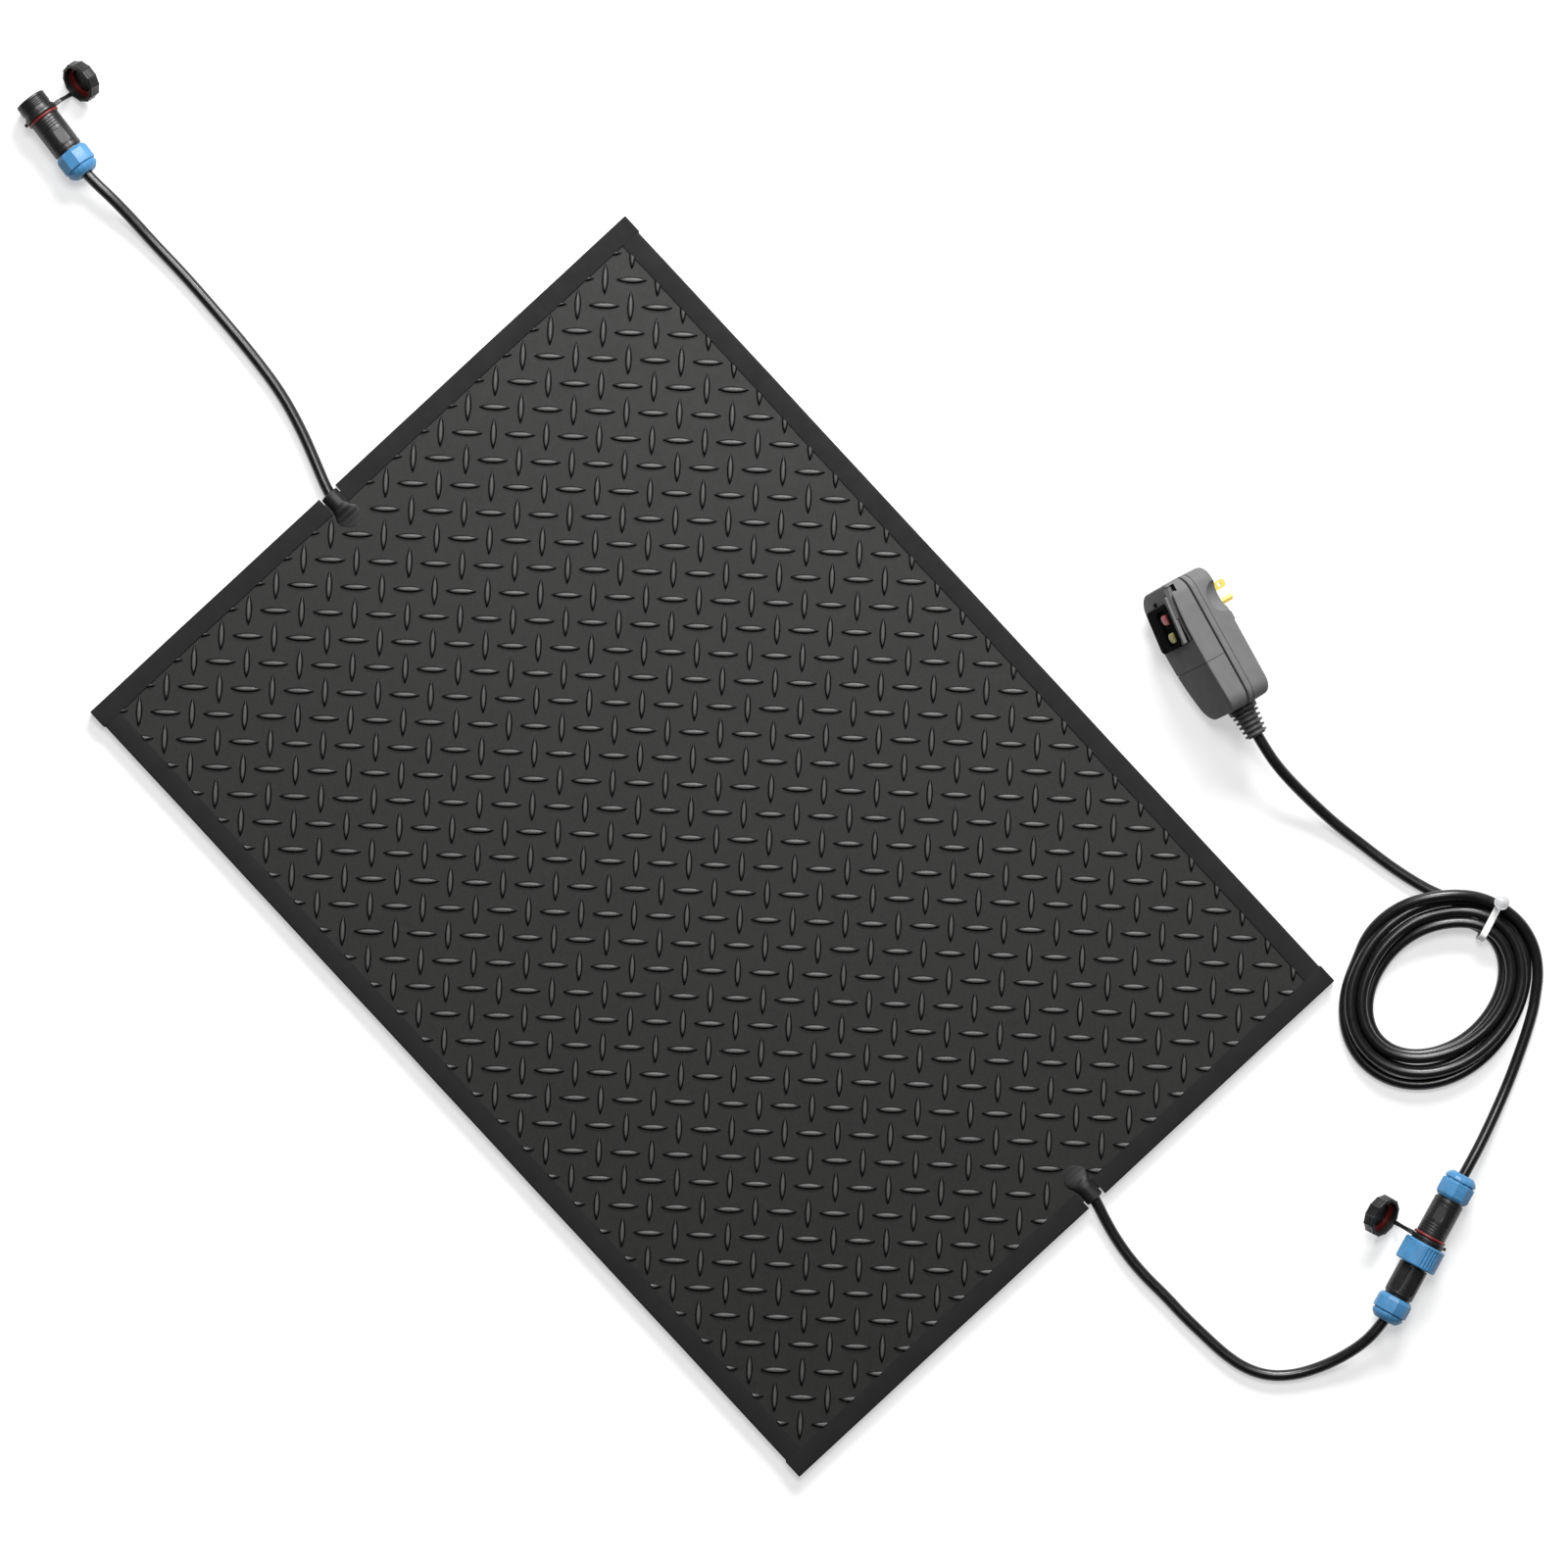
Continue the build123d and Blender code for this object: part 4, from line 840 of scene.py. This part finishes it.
def add_feed_body():
    """Body of the feed plug: flats on the grip, a neck for the coupling ring, flange and nose."""
    radius = 11.1
    corners = [
        (10.0, 6.4, 0), (10.0, 9.0, 0.3), (19.4, 9.0, 0), (19.4, 10.1, 0), (20.9, 10.1, 0.1),
        (20.9, 10.7, 0.15), (22.0, radius, 0.2), (23.2, radius, 0.1), (23.5, 10.8, 0.1), (23.9, radius, 0.1),
        (24.4, radius, 0), (24.6, radius, 0), (44.0, radius, 0), (44.2, radius, 0), (45.1, radius, 0.4),
        (45.1, 9.6, 0), (50.5, 9.6, 0), (50.5, 11.8, 0.2), (52.3, 11.8, 0.2), (52.3, 9.0, 0),
        (62.0, 9.0, 0.3), (62.0, 7.6, 0), (34.0, 7.6, 0), (34.0, 6.4, 0),
    ]

    def shape(z, r, angles):
        around = np.full(len(angles), r)
        if 24.5 < z < 44.1 and r > 11:
            around = flattened(around, angles, 10.3, (-32.0, 32.0, 148.0, 212.0))
        return around

    parts = Parts()
    parts.add(*turned(corners, FEED_PLACE, 144, shape))
    for heading in (-31.0, 31.0, 149.0, 211.0):
        catch = []
        for z, reach in ((20.9, 10.9), (21.3, 11.5), (22.2, 11.5), (22.6, 10.9)):
            for r, turn in ((10.4, -7), (10.4, 7), (reach, 6), (reach, -6)):
                angle = math.radians(heading + turn)
                catch.append((r * math.cos(angle), r * math.sin(angle), z))
        parts.add(place_points(catch, FEED_PLACE), tube_faces(4, 4))
    parts.piece("feed_body", "connector_black", "mat", ["feed_plug_body"], 28)


def add_coupling_ring():
    """Captive ring with four groups of grip grooves."""
    corners = [
        (45.8, 11.4, 0), (45.8, 14.9, 0.4), (46.8, RING_R, 0.4), (47.4, RING_R, 0), (47.7, RING_R, 0),
        (61.8, RING_R, 0), (62.1, RING_R, 0), (62.8, RING_R, 0.4), (63.7, 14.9, 0.4), (63.7, 12.1, 0.2),
        (49.5, 12.1, 0), (49.5, 9.9, 0), (48.3, 9.9, 0), (48.3, 11.4, 0),
    ]

    def shape(z, r, angles):
        radius = np.full(len(angles), r)
        if 47.5 < z < 62.0 and r > 15:
            turn = (np.degrees(angles) - 23.5 + 45) % 90 - 45
            for groove in (-15.0, -5.0, 5.0, 15.0):
                radius -= 0.7 * np.exp(-(((turn - groove) / 2.5) ** 4))
        return radius

    points, faces = turned(corners, FEED_PLACE, 288, shape)
    make_piece("ring", points, faces, "connector_blue", "ring", ["coupling_ring"], sharp=24)


# Dust caps and their straps

CAP_R = 15.0
CAP_FLAT_R = CAP_R * math.cos(math.radians(15.0))
CAP_HALF_HEIGHT = 4.5
CAP_LIFT = 0.15
STRAP_STANDOFF = 1.3
STRAP_RUN = 6.0
CAP_PLACES = {
    "tail": (TAIL_PLACE, TAIL_HEIGHT, 53.5, 38.1, 56.0),
    "mains": (MAINS_PLACE, PAIR_HEIGHT, 52.0, 38.5, 54.9),
}


def cap_middle(height, tilt, side, along):
    """Middle of a cap that rests on the lower edge of its base, in the connector's frame."""
    angle = math.radians(tilt)
    z = CAP_LIFT + CAP_HALF_HEIGHT * math.cos(angle) + CAP_FLAT_R * math.sin(angle)
    return Vector((z - height, side, along))


def add_cap(label):
    """Twelve-sided cap with a step round its skirt and a fork for the strap."""
    place, height, tilt, side, along = CAP_PLACES[label]
    angle = math.radians(tilt)
    mouth = (math.cos(angle), -math.sin(angle), 0)
    local = frame_matrix(cap_middle(height, tilt, side, along), (0, 0, 1), mouth)
    world = place @ local
    corners = [
        (-4.5, 6.0, 0), (-4.5, 11.0, 0), (-4.2, 11.3, 0.1), (-4.2, 12.2, 0.1), (-4.5, 12.5, 0.1),
        (-4.5, 14.3, 0.5), (-3.6, CAP_R, 0.4), (1.6, CAP_R, 0.1), (1.8, 14.75, 0.1), (2.3, 14.75, 0.1),
        (2.5, CAP_R, 0.1), (4.5, CAP_R, 0.5), (4.5, 13.0, 0.3), (4.0, 12.3, 0.2), (-1.9, 12.3, 0),
        (-1.9, 6.0, 0),
    ]

    def shape(z, r, angles):
        if r < 12.6:
            return np.full(len(angles), r)
        share = polygon_share(angles, 12, 15.0)
        return r * share + 0.28 * np.maximum(0, (share - 0.985) / 0.015)

    parts = Parts()
    parts.add(*turned(corners, world, 144, shape, closed=False))
    cheek = [(1.1, 14.2), (-1.1, 14.2), (-1.3, 15.4), (-0.9, 16.4), (0, 16.8), (0.9, 16.4), (1.3, 15.4)]
    for sign in (1, -1):
        parts.add(*tube([[(sign * x, y, z) for z, y in cheek] for x in (2.0, 2.9)], world))
    parts.piece(f"{label}_dust_cap", "connector_black", f"{label}_cap", [f"{label}_cap"], 24)


def add_strap(label):
    """Ring round the socket's neck and the flat strap to the cap."""
    place, height, tilt, side, along = CAP_PLACES[label]
    angle = math.radians(tilt)
    middle = cap_middle(height, tilt, side, along)
    reach = CAP_FLAT_R + STRAP_STANDOFF
    end = (middle[0] - reach * math.sin(angle), middle[1] - reach * math.cos(angle))
    bend = (end[0] + STRAP_RUN * math.cos(angle), end[1] - STRAP_RUN * math.sin(angle))
    route = rounded_path([(0.2, 11.9, 0), (-0.5, 17.0, 2.0), (*bend, 4.5), (*end, 0)], 10, closed=False)
    parts = Parts()
    ring = [(53.3, 11.3, 0.2), (53.3, 13.0, 0.5), (55.9, 13.0, 0.5), (55.9, 11.3, 0.2)]
    parts.add(*turned(ring, place, 96))
    lug = rounded_path([(-1.7, -12.0, 0), (1.7, -12.0, 0), (1.4, -14.6, 0.7), (-1.4, -14.6, 0.7)])
    parts.add(*tube([[(x, y, z) for x, y in lug] for z in (53.4, 55.8)], place))
    steps = np.diff(route, axis=0)
    length = np.concatenate([[0], np.cumsum(np.linalg.norm(steps, axis=1))])
    heading = np.gradient(route, axis=0)
    heading /= np.linalg.norm(heading, axis=1)[:, None]
    rings = []
    for spot, (dx, dy), far in zip(route, heading, length / length[-1]):
        half = 1.75 - 0.35 * math.sin(math.pi * min(1.0, far * 1.1)) ** 2
        thick = 0.8
        section = [(thick, half - 0.4), (thick - 0.4, half), (0.4 - thick, half), (-thick, half - 0.4)]
        section += [(-thick, 0.4 - half), (0.4 - thick, -half), (thick - 0.4, -half), (thick, 0.4 - half)]
        rings.append([(spot[0] - dy * t, spot[1] + dx * t, STRAP_ALONG + w) for t, w in section])
    parts.add(*tube(rings, place))
    parts.piece(f"{label}_tether", "connector_black", f"{label}_strap", [f"{label}_cap_strap"])


# Coil tie

TIE_CENTRE = (426.1, 379.2)
TIE_HEADING = 109.4
KNOB_R = 5.6
KNOB_SPOT = (15.5, 24.15)
TIE_BAND = [
    (-15.6, 0.5, 3.5), (15.6, 0.5, 3.5), (15.6, 11.5, 4.0), (13.4, 18.1, 3.5), (-13.4, 18.1, 3.5),
    (-15.6, 11.5, 4.0),
]


def add_tie():
    """Ribbed band round the bundle, and its clear round knob."""
    angle = math.radians(TIE_HEADING)
    across = (math.cos(angle), math.sin(angle), 0)
    place = frame_matrix((*TIE_CENTRE, 0), across, (across[1], -across[0], 0))
    path = rounded_path(TIE_BAND, 6)
    ahead = np.roll(path, -1, 0) - np.roll(path, 1, 0)
    ahead /= np.linalg.norm(ahead, axis=1)[:, None]
    rings = []
    for (s, z), (ds, dz) in zip(path, ahead):
        section = [(0.4, 2.3), (0.25, 2.5), (-0.4, 2.5), (-0.4, -2.5), (0.25, -2.5), (0.4, -2.3), (0.25, 0)]
        rings.append([(s + dz * t, z - ds * t, w) for t, w in section])
    faces = grid_faces(len(rings), len(rings[0]), wrap_rows=True)
    make_piece("tie_band", place_points(rings, place), faces, "tie_white", "power_set", ["coil_tie"])
    reach, height = KNOB_SPOT
    origin = (TIE_CENTRE[0] + reach * across[0], TIE_CENTRE[1] + reach * across[1], height)
    knob_place = frame_matrix(origin, across, (0, 0, 1))
    ball = [(-KNOB_R - 0.1, 1.0), (-KNOB_R + 0.2, 1.7)]
    for step in range(2, 20):
        turn = math.pi * step / 20
        ball.append((-KNOB_R * math.cos(turn), KNOB_R * math.sin(turn) * (0.965 if step == 10 else 1.0)))
    knob = tube(ring_points(ball, 48), knob_place)
    make_piece("knob", *knob, "knob_clear", "power_set", ["tie_knob"])


# Ground-fault plug, in its own frame: X from the top end to the cord, Y to the blades, Z across

PLUG_LENGTH = 104.5
PLUG_WIDTH = 57.0
PLUG_REAR = 20.8
PLUG_CORNER = 12.0
GASKET_HALF = 0.5
WALL = 2.2
REAR_EDGE = 4.0
FRONT_EDGE = 1.2
PLUG_CENTRE = (135.5, 360.6)
PLUG_HEADING = -14.0
PLUG_ROLL = 22.0
PLUG_CLEAR = 0.15
CROWN_X = 44.0
CROWN_DEPTH = -17.3
BEZEL_START = 13.0
BEZEL_RUN = 32.0
BEZEL_DEPTH = -19.4
BEZEL_FALL = 3.8
HOOD_DEPTH = 3.6
SPLIT = (63.6, 64.0)
BUTTON_Z = 5.5
BUTTONS = {"reset_button": (23.0, "reset_red"), "test_button": (37.0, "test_olive")}
BLADE_X = 19.0
BLADE_HALF_WIDTH = 3.175
BLADE_HALF_THICK = 0.75
BLADE_SPREAD = 6.35
BLADE_REACH = 16.5
ROUND_SIDES = 32
SCOOP_X = 25.8
SCOOP_DEPTH = 7.8
SCOOP_BALL_R = 14.73
SCREWS = [(9.0, 19.5), (9.0, -19.5), (95.5, 19.5), (95.5, -19.5)]


def plug_place():
    """The plug lies on a long edge, rolled so that its front looks partly up."""
    heading, roll = math.radians(PLUG_HEADING), math.radians(PLUG_ROLL)
    along = (math.cos(heading), math.sin(heading), 0)
    lean = math.sin(roll)
    side = (-math.sin(heading) * lean, math.cos(heading) * lean, math.cos(roll))
    reach = (PLUG_REAR - REAR_EDGE) * math.sin(roll) + (PLUG_WIDTH / 2 - REAR_EDGE) * math.cos(roll)
    x, y = (PLUG_CENTRE[k] - PLUG_LENGTH / 2 * along[k] for k in (0, 1))
    return frame_matrix((x, y, reach + REAR_EDGE + PLUG_CLEAR), along, side)


PLUG_PLACE = plug_place()


def outline(x0, x1, z0, z1, radius, arc_steps=9, edge_steps=8):
    """Points round a rounded rectangle, evenly spaced along its straight sides."""
    points = []
    middles = [(x1 - radius, z1 - radius), (x0 + radius, z1 - radius), (x0 + radius, z0 + radius)]
    middles.append((x1 - radius, z0 + radius))
    for k, (cx, cz) in enumerate(middles):
        for step in range(arc_steps + 1):
            angle = math.pi / 2 * (k + step / arc_steps)
            points.append((cx + radius * math.cos(angle), cz + radius * math.sin(angle)))
        nx, nz = middles[(k + 1) % 4]
        turn = math.pi / 2 * (k + 1)
        start = np.array(points[-1])
        stop = np.array((nx + radius * math.cos(turn), nz + radius * math.sin(turn)))
        points += [tuple(start + (stop - start) * t) for t in np.linspace(0, 1, edge_steps + 1)[1:-1]]
    return np.array(points)


def plug_outline(grow):
    half_x, half_z = PLUG_LENGTH / 2 + grow, PLUG_WIDTH / 2 + grow
    middle = PLUG_LENGTH / 2
    radius = max(PLUG_CORNER + grow, 1.0)
    return outline(middle - half_x, middle + half_x, -half_z, half_z, radius)


def upper_depth(x):
    """Depth of the bowed front along its upper edge."""
    fall = 5.1 * ((CROWN_X - x) / 48.0) ** 2 if x < CROWN_X else 1.9 * ((x - CROWN_X) / 62.0) ** 2
    return CROWN_DEPTH + fall


def front_depth(x, z):
    """Depth of the front, which falls off most at the lower corner by the cord."""
    less = 0.4 + 4.8 * (max(0.0, x - 50.0) / 56.0) ** 2
    return upper_depth(x) + less * (0.5 - z / PLUG_WIDTH)


def bezel_face(x, z=0.0):
    """Depth of the bezel's sloping face."""
    return BEZEL_DEPTH - BEZEL_FALL * (x - BEZEL_START) / BEZEL_RUN


def skirt_top(x, z=0.0):
    """Depth where the black wall under the hood ends; the wall is painted shade for the gap beneath the
    hood.
    """
    return bezel_face(x) + HOOD_DEPTH


def ring_at(points, depth):
    return [(x, depth(x, z) if callable(depth) else depth, z) for x, z in points]


def shrunk(points, share):
    middle = np.array((PLUG_LENGTH / 2, 0.0))
    return middle + (points - middle) * share


def temporary(name, points, faces):
    """A helper object in the row frame, which carved() removes again."""
    helper = bpy.data.objects.new(name, outward_mesh(name, points, faces))
    bpy.context.scene.collection.objects.link(helper)
    return helper


def carved(base, cutters):
    """The base's mesh less the cutters; all the helper objects are removed."""
    for cutter in cutters:
        modifier = base.modifiers.new("cut", "BOOLEAN")
        modifier.operation = "DIFFERENCE"
        modifier.solver = "EXACT"
        modifier.object = cutter
    bpy.context.view_layer.update()
    evaluated = base.evaluated_get(bpy.context.evaluated_depsgraph_get())
    mesh = bpy.data.meshes.new_from_object(evaluated)
    for helper in [base, *cutters]:
        bpy.data.objects.remove(helper)
    return mesh


def block(x0, x1, y0, y1, z0, z1, radius=0.0, edge=0.0):
    """A block in the plug's frame, rounded in its X-Z outline and along its front (low Y) edge."""
    if radius:
        rings = [ring_at(outline(x0, x1, z0, z1, radius, 6, 2), y1)]
        for step in range(5 if edge else 1):
            t = math.pi / 2 * step / 4
            g = edge * (1 - math.cos(t))
            back = edge * (1 - math.sin(t))
            corner = max(radius - g, 0.2)
            ring = ring_at(outline(x0 + g, x1 - g, z0 + g, z1 - g, corner, 6, 2), y0)
            rings.append([(x, y + back, z) for x, y, z in ring])
    else:
        square = [(x0, z0), (x1, z0), (x1, z1), (x0, z1)]
        rings = [ring_at(square, y1), ring_at(square, y0)]
    return tube(rings, PLUG_PLACE)


def cylinder(x, other, radius, low, high, axis):
    """A round cutter in the plug's frame, along its Y (axis 1) or its Z (axis 2)."""
    rings = []
    for end in (low, high):
        ring = []
        for k in range(ROUND_SIDES):
            angle = 2 * math.pi * k / ROUND_SIDES
            side = other + radius * math.sin(angle)
            ring.append((x + radius * math.cos(angle), *((end, side) if axis == 1 else (side, end))))
        rings.append(ring)
    return tube(rings, PLUG_PLACE)


def ball_cutter(x, y, z, radius):
    profile = [(-radius * math.cos(t), radius * math.sin(t)) for t in np.linspace(0.02, math.pi - 0.02, 49)]
    return tube(ring_points(profile, 96) + np.array((x, y, z)), PLUG_PLACE)


def add_rear_shell():
    """Rear half: beads along the joint, a scoop in each side, screw recesses and a low pad."""
    rings = [ring_at(plug_outline(-8.4), PLUG_REAR - WALL), ring_at(plug_outline(-8.4), GASKET_HALF)]
    for grow, y in ((-0.3, 0.7), (0, 1.1), (0.2, 1.7), (0.2, 2.2), (0, 2.9), (0, 4.5), (-0.6, 4.7),
                    (-0.6, 5.2), (0, 5.4), (-0.1, 11.0)):
        rings.append(ring_at(plug_outline(grow), y))
    for step in range(7):
        t = math.pi / 2 * step / 6
        y = PLUG_REAR - REAR_EDGE * (1 - math.sin(t))
        rings.append(ring_at(plug_outline(-0.3 - REAR_EDGE * (1 - math.cos(t))), y))
    base = temporary("rear", *tube(rings, PLUG_PLACE))
    cutters = []
    for side in (1, -1):
        middle = side * (PLUG_WIDTH / 2 - SCOOP_DEPTH + SCOOP_BALL_R)
        cutters.append(temporary("scoop", *ball_cutter(SCOOP_X, PLUG_REAR, middle, SCOOP_BALL_R)))
    for x, z in SCREWS:
        cutters.append(temporary("screw", *cylinder(x, z, 2.75, 16.0, 24.0, axis=1)))
    mesh = carved(base, cutters)
    finish_piece("plug_rear", mesh, "plug_grey", "power_set", ["plug_rear_shell"], 30)
    make_piece("rear_pad", *block(39.2, 46.4, 20.2, 21.8, 2.0, 25.0, 1.5), "plug_grey", "power_set")


def front_solid(name):
    """Whole front half, hollow, with its crowned face."""
    def inside(x, z):
        return front_depth(x, z) + WALL

    rings = []
    for share in (0.1, 0.4, 0.7):
        rings.append(ring_at(shrunk(plug_outline(-WALL - 1.0), share), inside))
    rings.append(ring_at(plug_outline(-WALL - 0.6), inside))
    rings.append(ring_at(plug_outline(-WALL), lambda x, z: inside(x, z) + 0.8))
    rings.append(ring_at(plug_outline(-WALL), -GASKET_HALF))
    rings.append(ring_at(plug_outline(-0.3), -GASKET_HALF - 0.5))
    for grow, share in ((0.0, 0.04), (0.0, 0.3), (-0.1, 0.6), (-0.2, 0.8)):
        depth = lambda x, z, share=share: -GASKET_HALF + share * (front_depth(x, z) + GASKET_HALF)
        rings.append(ring_at(plug_outline(grow), depth))
    for step in range(7):
        t = math.pi / 2 * step / 6
        back = FRONT_EDGE * (1 - math.sin(t))
        grow = -0.2 - FRONT_EDGE * (1 - math.cos(t))
        rings.append(ring_at(plug_outline(grow), lambda x, z, back=back: front_depth(x, z) + back))
    for share in (0.85, 0.65, 0.4, 0.12):
        rings.append(ring_at(shrunk(plug_outline(-FRONT_EDGE), share), front_depth))
    return temporary(name, *tube(rings, PLUG_PLACE))


def split_off(helper, x, keep):
    """Keep the part of a helper on one side of a plane across the plug, and close the cut."""
    normal = (PLUG_PLACE.to_3x3() @ Vector((1, 0, 0))) * -keep
    spot = (PLUG_PLACE @ Vector((x, 0, 0))) * MM
    bm = bmesh.new()
    bm.from_mesh(helper.data)
    bmesh.ops.triangulate(bm, faces=cut_off(bm, spot, normal))
    bmesh.ops.recalc_face_normals(bm, faces=bm.faces)
    bm.to_mesh(helper.data)
    bm.free()


def add_front_shells():
    """Front shell with the bezel's window and hood, and the cover over the cord terminals."""
    cover = front_solid("cover")
    split_off(cover, SPLIT[1], 1)
    finish_piece("plug_cover", carved(cover, []), "plug_grey", "power_set", ["plug_terminal_cover"], 30)
    front = front_solid("front")
    split_off(front, SPLIT[0], -1)
    window = temporary("window", *block(12.0, 45.0, -24.0, -9.0, -19.0, 19.0, 4.2))
    undercut = temporary("undercut", *block(2.5, 44.8, -24.0, -10.2, 21.6, 27.2, 1.1))
    mesh = carved(front, [window, undercut])
    finish_piece("plug_front", mesh, "plug_grey", "power_set", ["plug_front_shell"], 30)
    hood = Parts()
    hood.add(*block(8.5, 44.7, lambda x, z: bezel_face(x) + 0.6, skirt_top, 17.2, 21.5, 0.9, 0.5))
    fin = [(3.2, -13.9, 24.6), (3.2, -16.2, 21.2), (3.2, -10.5, 21.2), (3.2, -10.5, 24.6),
           (26.0, -18.0, 22.4), (26.0, -18.2, 22.0), (26.0, -10.5, 22.0), (26.0, -10.5, 22.4)]
    hood.add(place_points(fin, PLUG_PLACE), tube_faces(2, 4))
    hood.piece("bezel_hood", "plug_grey", "power_set", sharp=30)
    # Black walls: the sheet at the back of the undercut and the one under the hood are painted shade for
    # these recesses; the third closes the joint at the split from behind.
    walls = Parts()
    walls.add(*block(2.2, 45.1, -11.2, -9.8, 21.0, 27.6))
    walls.add(*block(8.6, 44.7, skirt_top, -10.4, 18.9, 21.4, 0.8))
    walls.add(*block(63.1, 64.5, lambda x, z: front_depth(x, z) + 0.5, -0.8, -26.0, 26.0, 0.5))
    walls.piece("recess_shade_walls", "bezel_black", "power_set")
    lens = block(8.6, 11.6, -15.1, -12.0, -8.5, -3.5, 1.4, 0.4)
    make_piece("status_window", *lens, "bezel_black", "power_set", sharp=40)


def add_gasket():
    """Rubber cord set back in the joint between the two halves."""
    section = ((-3.4, -0.45), (-2.3, -0.45), (-2.1, 0.0), (-2.3, 0.45), (-3.4, 0.45))
    points = place_points([ring_at(plug_outline(grow), y) for grow, y in section], PLUG_PLACE)
    faces = grid_faces(len(section), len(points) // len(section), wrap_rows=True)
    make_piece("gasket_cord", points, faces, "seal_black", "power_set", ["plug_gasket"])


def add_bezel_and_buttons():
    """Black bezel with a shallow dish, and the two oval buttons in it."""
    bezel = temporary("bezel", *block(12.2, 44.8, bezel_face, -12.2, -18.8, 18.8, 4.0, 1.6))
    low, high = BUTTON_Z - 8.5, BUTTON_Z + 8.5
    dish = block(15.8, 42.2, -25.0, lambda x, z: bezel_face(x) + 1.9, low, high, 4.0)
    cutters = [temporary("dish", *dish)]
    for x, _ in BUTTONS.values():
        well = block(x - 4.3, x + 4.3, -24.0, -13.0, BUTTON_Z - 5.8, BUTTON_Z + 5.8, 3.7)
        cutters.append(temporary("well", *well))
    mesh = carved(bezel, cutters)
    finish_piece("bezel", mesh, "bezel_black", "power_set", ["button_bezel"], 30)
    for body, (x, slot) in BUTTONS.items():
        top = bezel_face(x) + 0.9
        rings = [ring_at(outline(x - 4.0, x + 4.0, BUTTON_Z - 5.5, BUTTON_Z + 5.5, 3.4, 8, 2), -15.2)]
        for step in range(6):
            t = math.pi / 2 * step / 5
            g = 1.3 * (1 - math.cos(t))
            edge = outline(x - 4 + g, x + 4 - g, BUTTON_Z - 5.5 + g, BUTTON_Z + 5.5 - g, 3.4 - g, 8, 2)
            rings.append(ring_at(edge, top + 1.3 * (1 - math.sin(t))))
        middle = np.array((x, BUTTON_Z))
        for share, crown in ((0.6, 0.25), (0.2, 0.35)):
            rings.append(ring_at(middle + (edge - middle) * share, top - crown))
        make_piece(f"{body}_cap", *tube(rings, PLUG_PLACE), slot, body, [body], sharp=50)


def add_relief():
    """Strain relief: a square root, then five ribs round a tapering sleeve."""
    place = PLUG_PLACE @ frame_matrix((PLUG_LENGTH, 4.0, 0.0), (0, 0, 1), (1, 0, 0))
    corners = [(-4.0, 8.0, 0), (-0.5, 8.0, 0), (-0.2, 11.2, 0), (3.6, 11.0, 0.8), (4.4, 8.9, 0.2)]
    for rib in range(5):
        z = 5.2 + 3.9 * rib
        outer = 10.3 - 0.42 * rib
        inner = 7.7 - 0.3 * rib
        corners += [(z, inner, 0.25), (z + 0.3, outer, 0.45)]
        corners += [(z + 2.0, outer - 0.1, 0.45), (z + 2.3, inner, 0.25)]
    corners += [(23.6, 7.0, 0.1), (24.0, 6.6, 0.3), (24.0, 4.4, 0)]

    def shape(z, r, angles):
        radius = np.full(len(angles), r)
        if -0.3 < z < 4.0:
            return radius * (1 + 0.1 * (polygon_share(angles, 4, 45.0) - 0.85))
        return radius

    points, faces = turned(corners, place, 120, shape, closed=False)
    make_piece("strain_relief", points, faces, "part_dark", "power_set", ["plug_boot"], sharp=35)


def add_blades():
    """Two flat blades with tapered tips, each with its hole."""
    tip = PLUG_REAR + BLADE_REACH
    low, high = BLADE_X - BLADE_HALF_WIDTH, BLADE_X + BLADE_HALF_WIDTH
    side = [(low, 6.0), (high, 6.0), (high, tip - 2.0), (high - 1.2, tip), (low + 1.2, tip)]
    side.append((low, tip - 2.0))
    blades = Parts()
    for z in (BLADE_SPREAD, -BLADE_SPREAD):
        rings = [[(x, y, z + h) for x, y in side] for h in (-BLADE_HALF_THICK, BLADE_HALF_THICK)]
        base = temporary("blade", *tube(rings, PLUG_PLACE))
        hole = temporary("hole", *cylinder(BLADE_X, tip - 5.2, 1.6, z - 2, z + 2, axis=2))
        mesh = carved(base, [hole])
        vertices = [v.co.copy() for v in mesh.vertices]
        blades.add(vertices, [tuple(p.vertices) for p in mesh.polygons])
        bpy.data.meshes.remove(mesh)
    blades.piece("blades", "contact_brass", "power_set", ["line_blades"], 30)


add_tread()
add_hems()
add_boots()
add_gland_nut("tail", "mat", TAIL_PLACE, 20.5)
add_gland_nut("feed", "mat", FEED_PLACE, 19.3)
add_gland_nut("mains", "power_set", MAINS_PLACE, 20.5)
add_socket("tail", "mat", TAIL_PLACE)
add_socket("mains", "power_set", MAINS_PLACE)
add_feed_body()
add_coupling_ring()
for connector in ("tail", "mains"):
    add_cap(connector)
    add_strap(connector)
add_tie()
add_rear_shell()
add_front_shells()
add_gasket()
add_bezel_and_buttons()
add_relief()
add_blades()


# Pieces on the power cord's plug end

PLUG_END = ["tie_band", "knob", "strain_relief", "plug_rear", "plug_front", "plug_cover", "bezel"]
PLUG_END += ["mains_nut", "mains_socket_shell"]
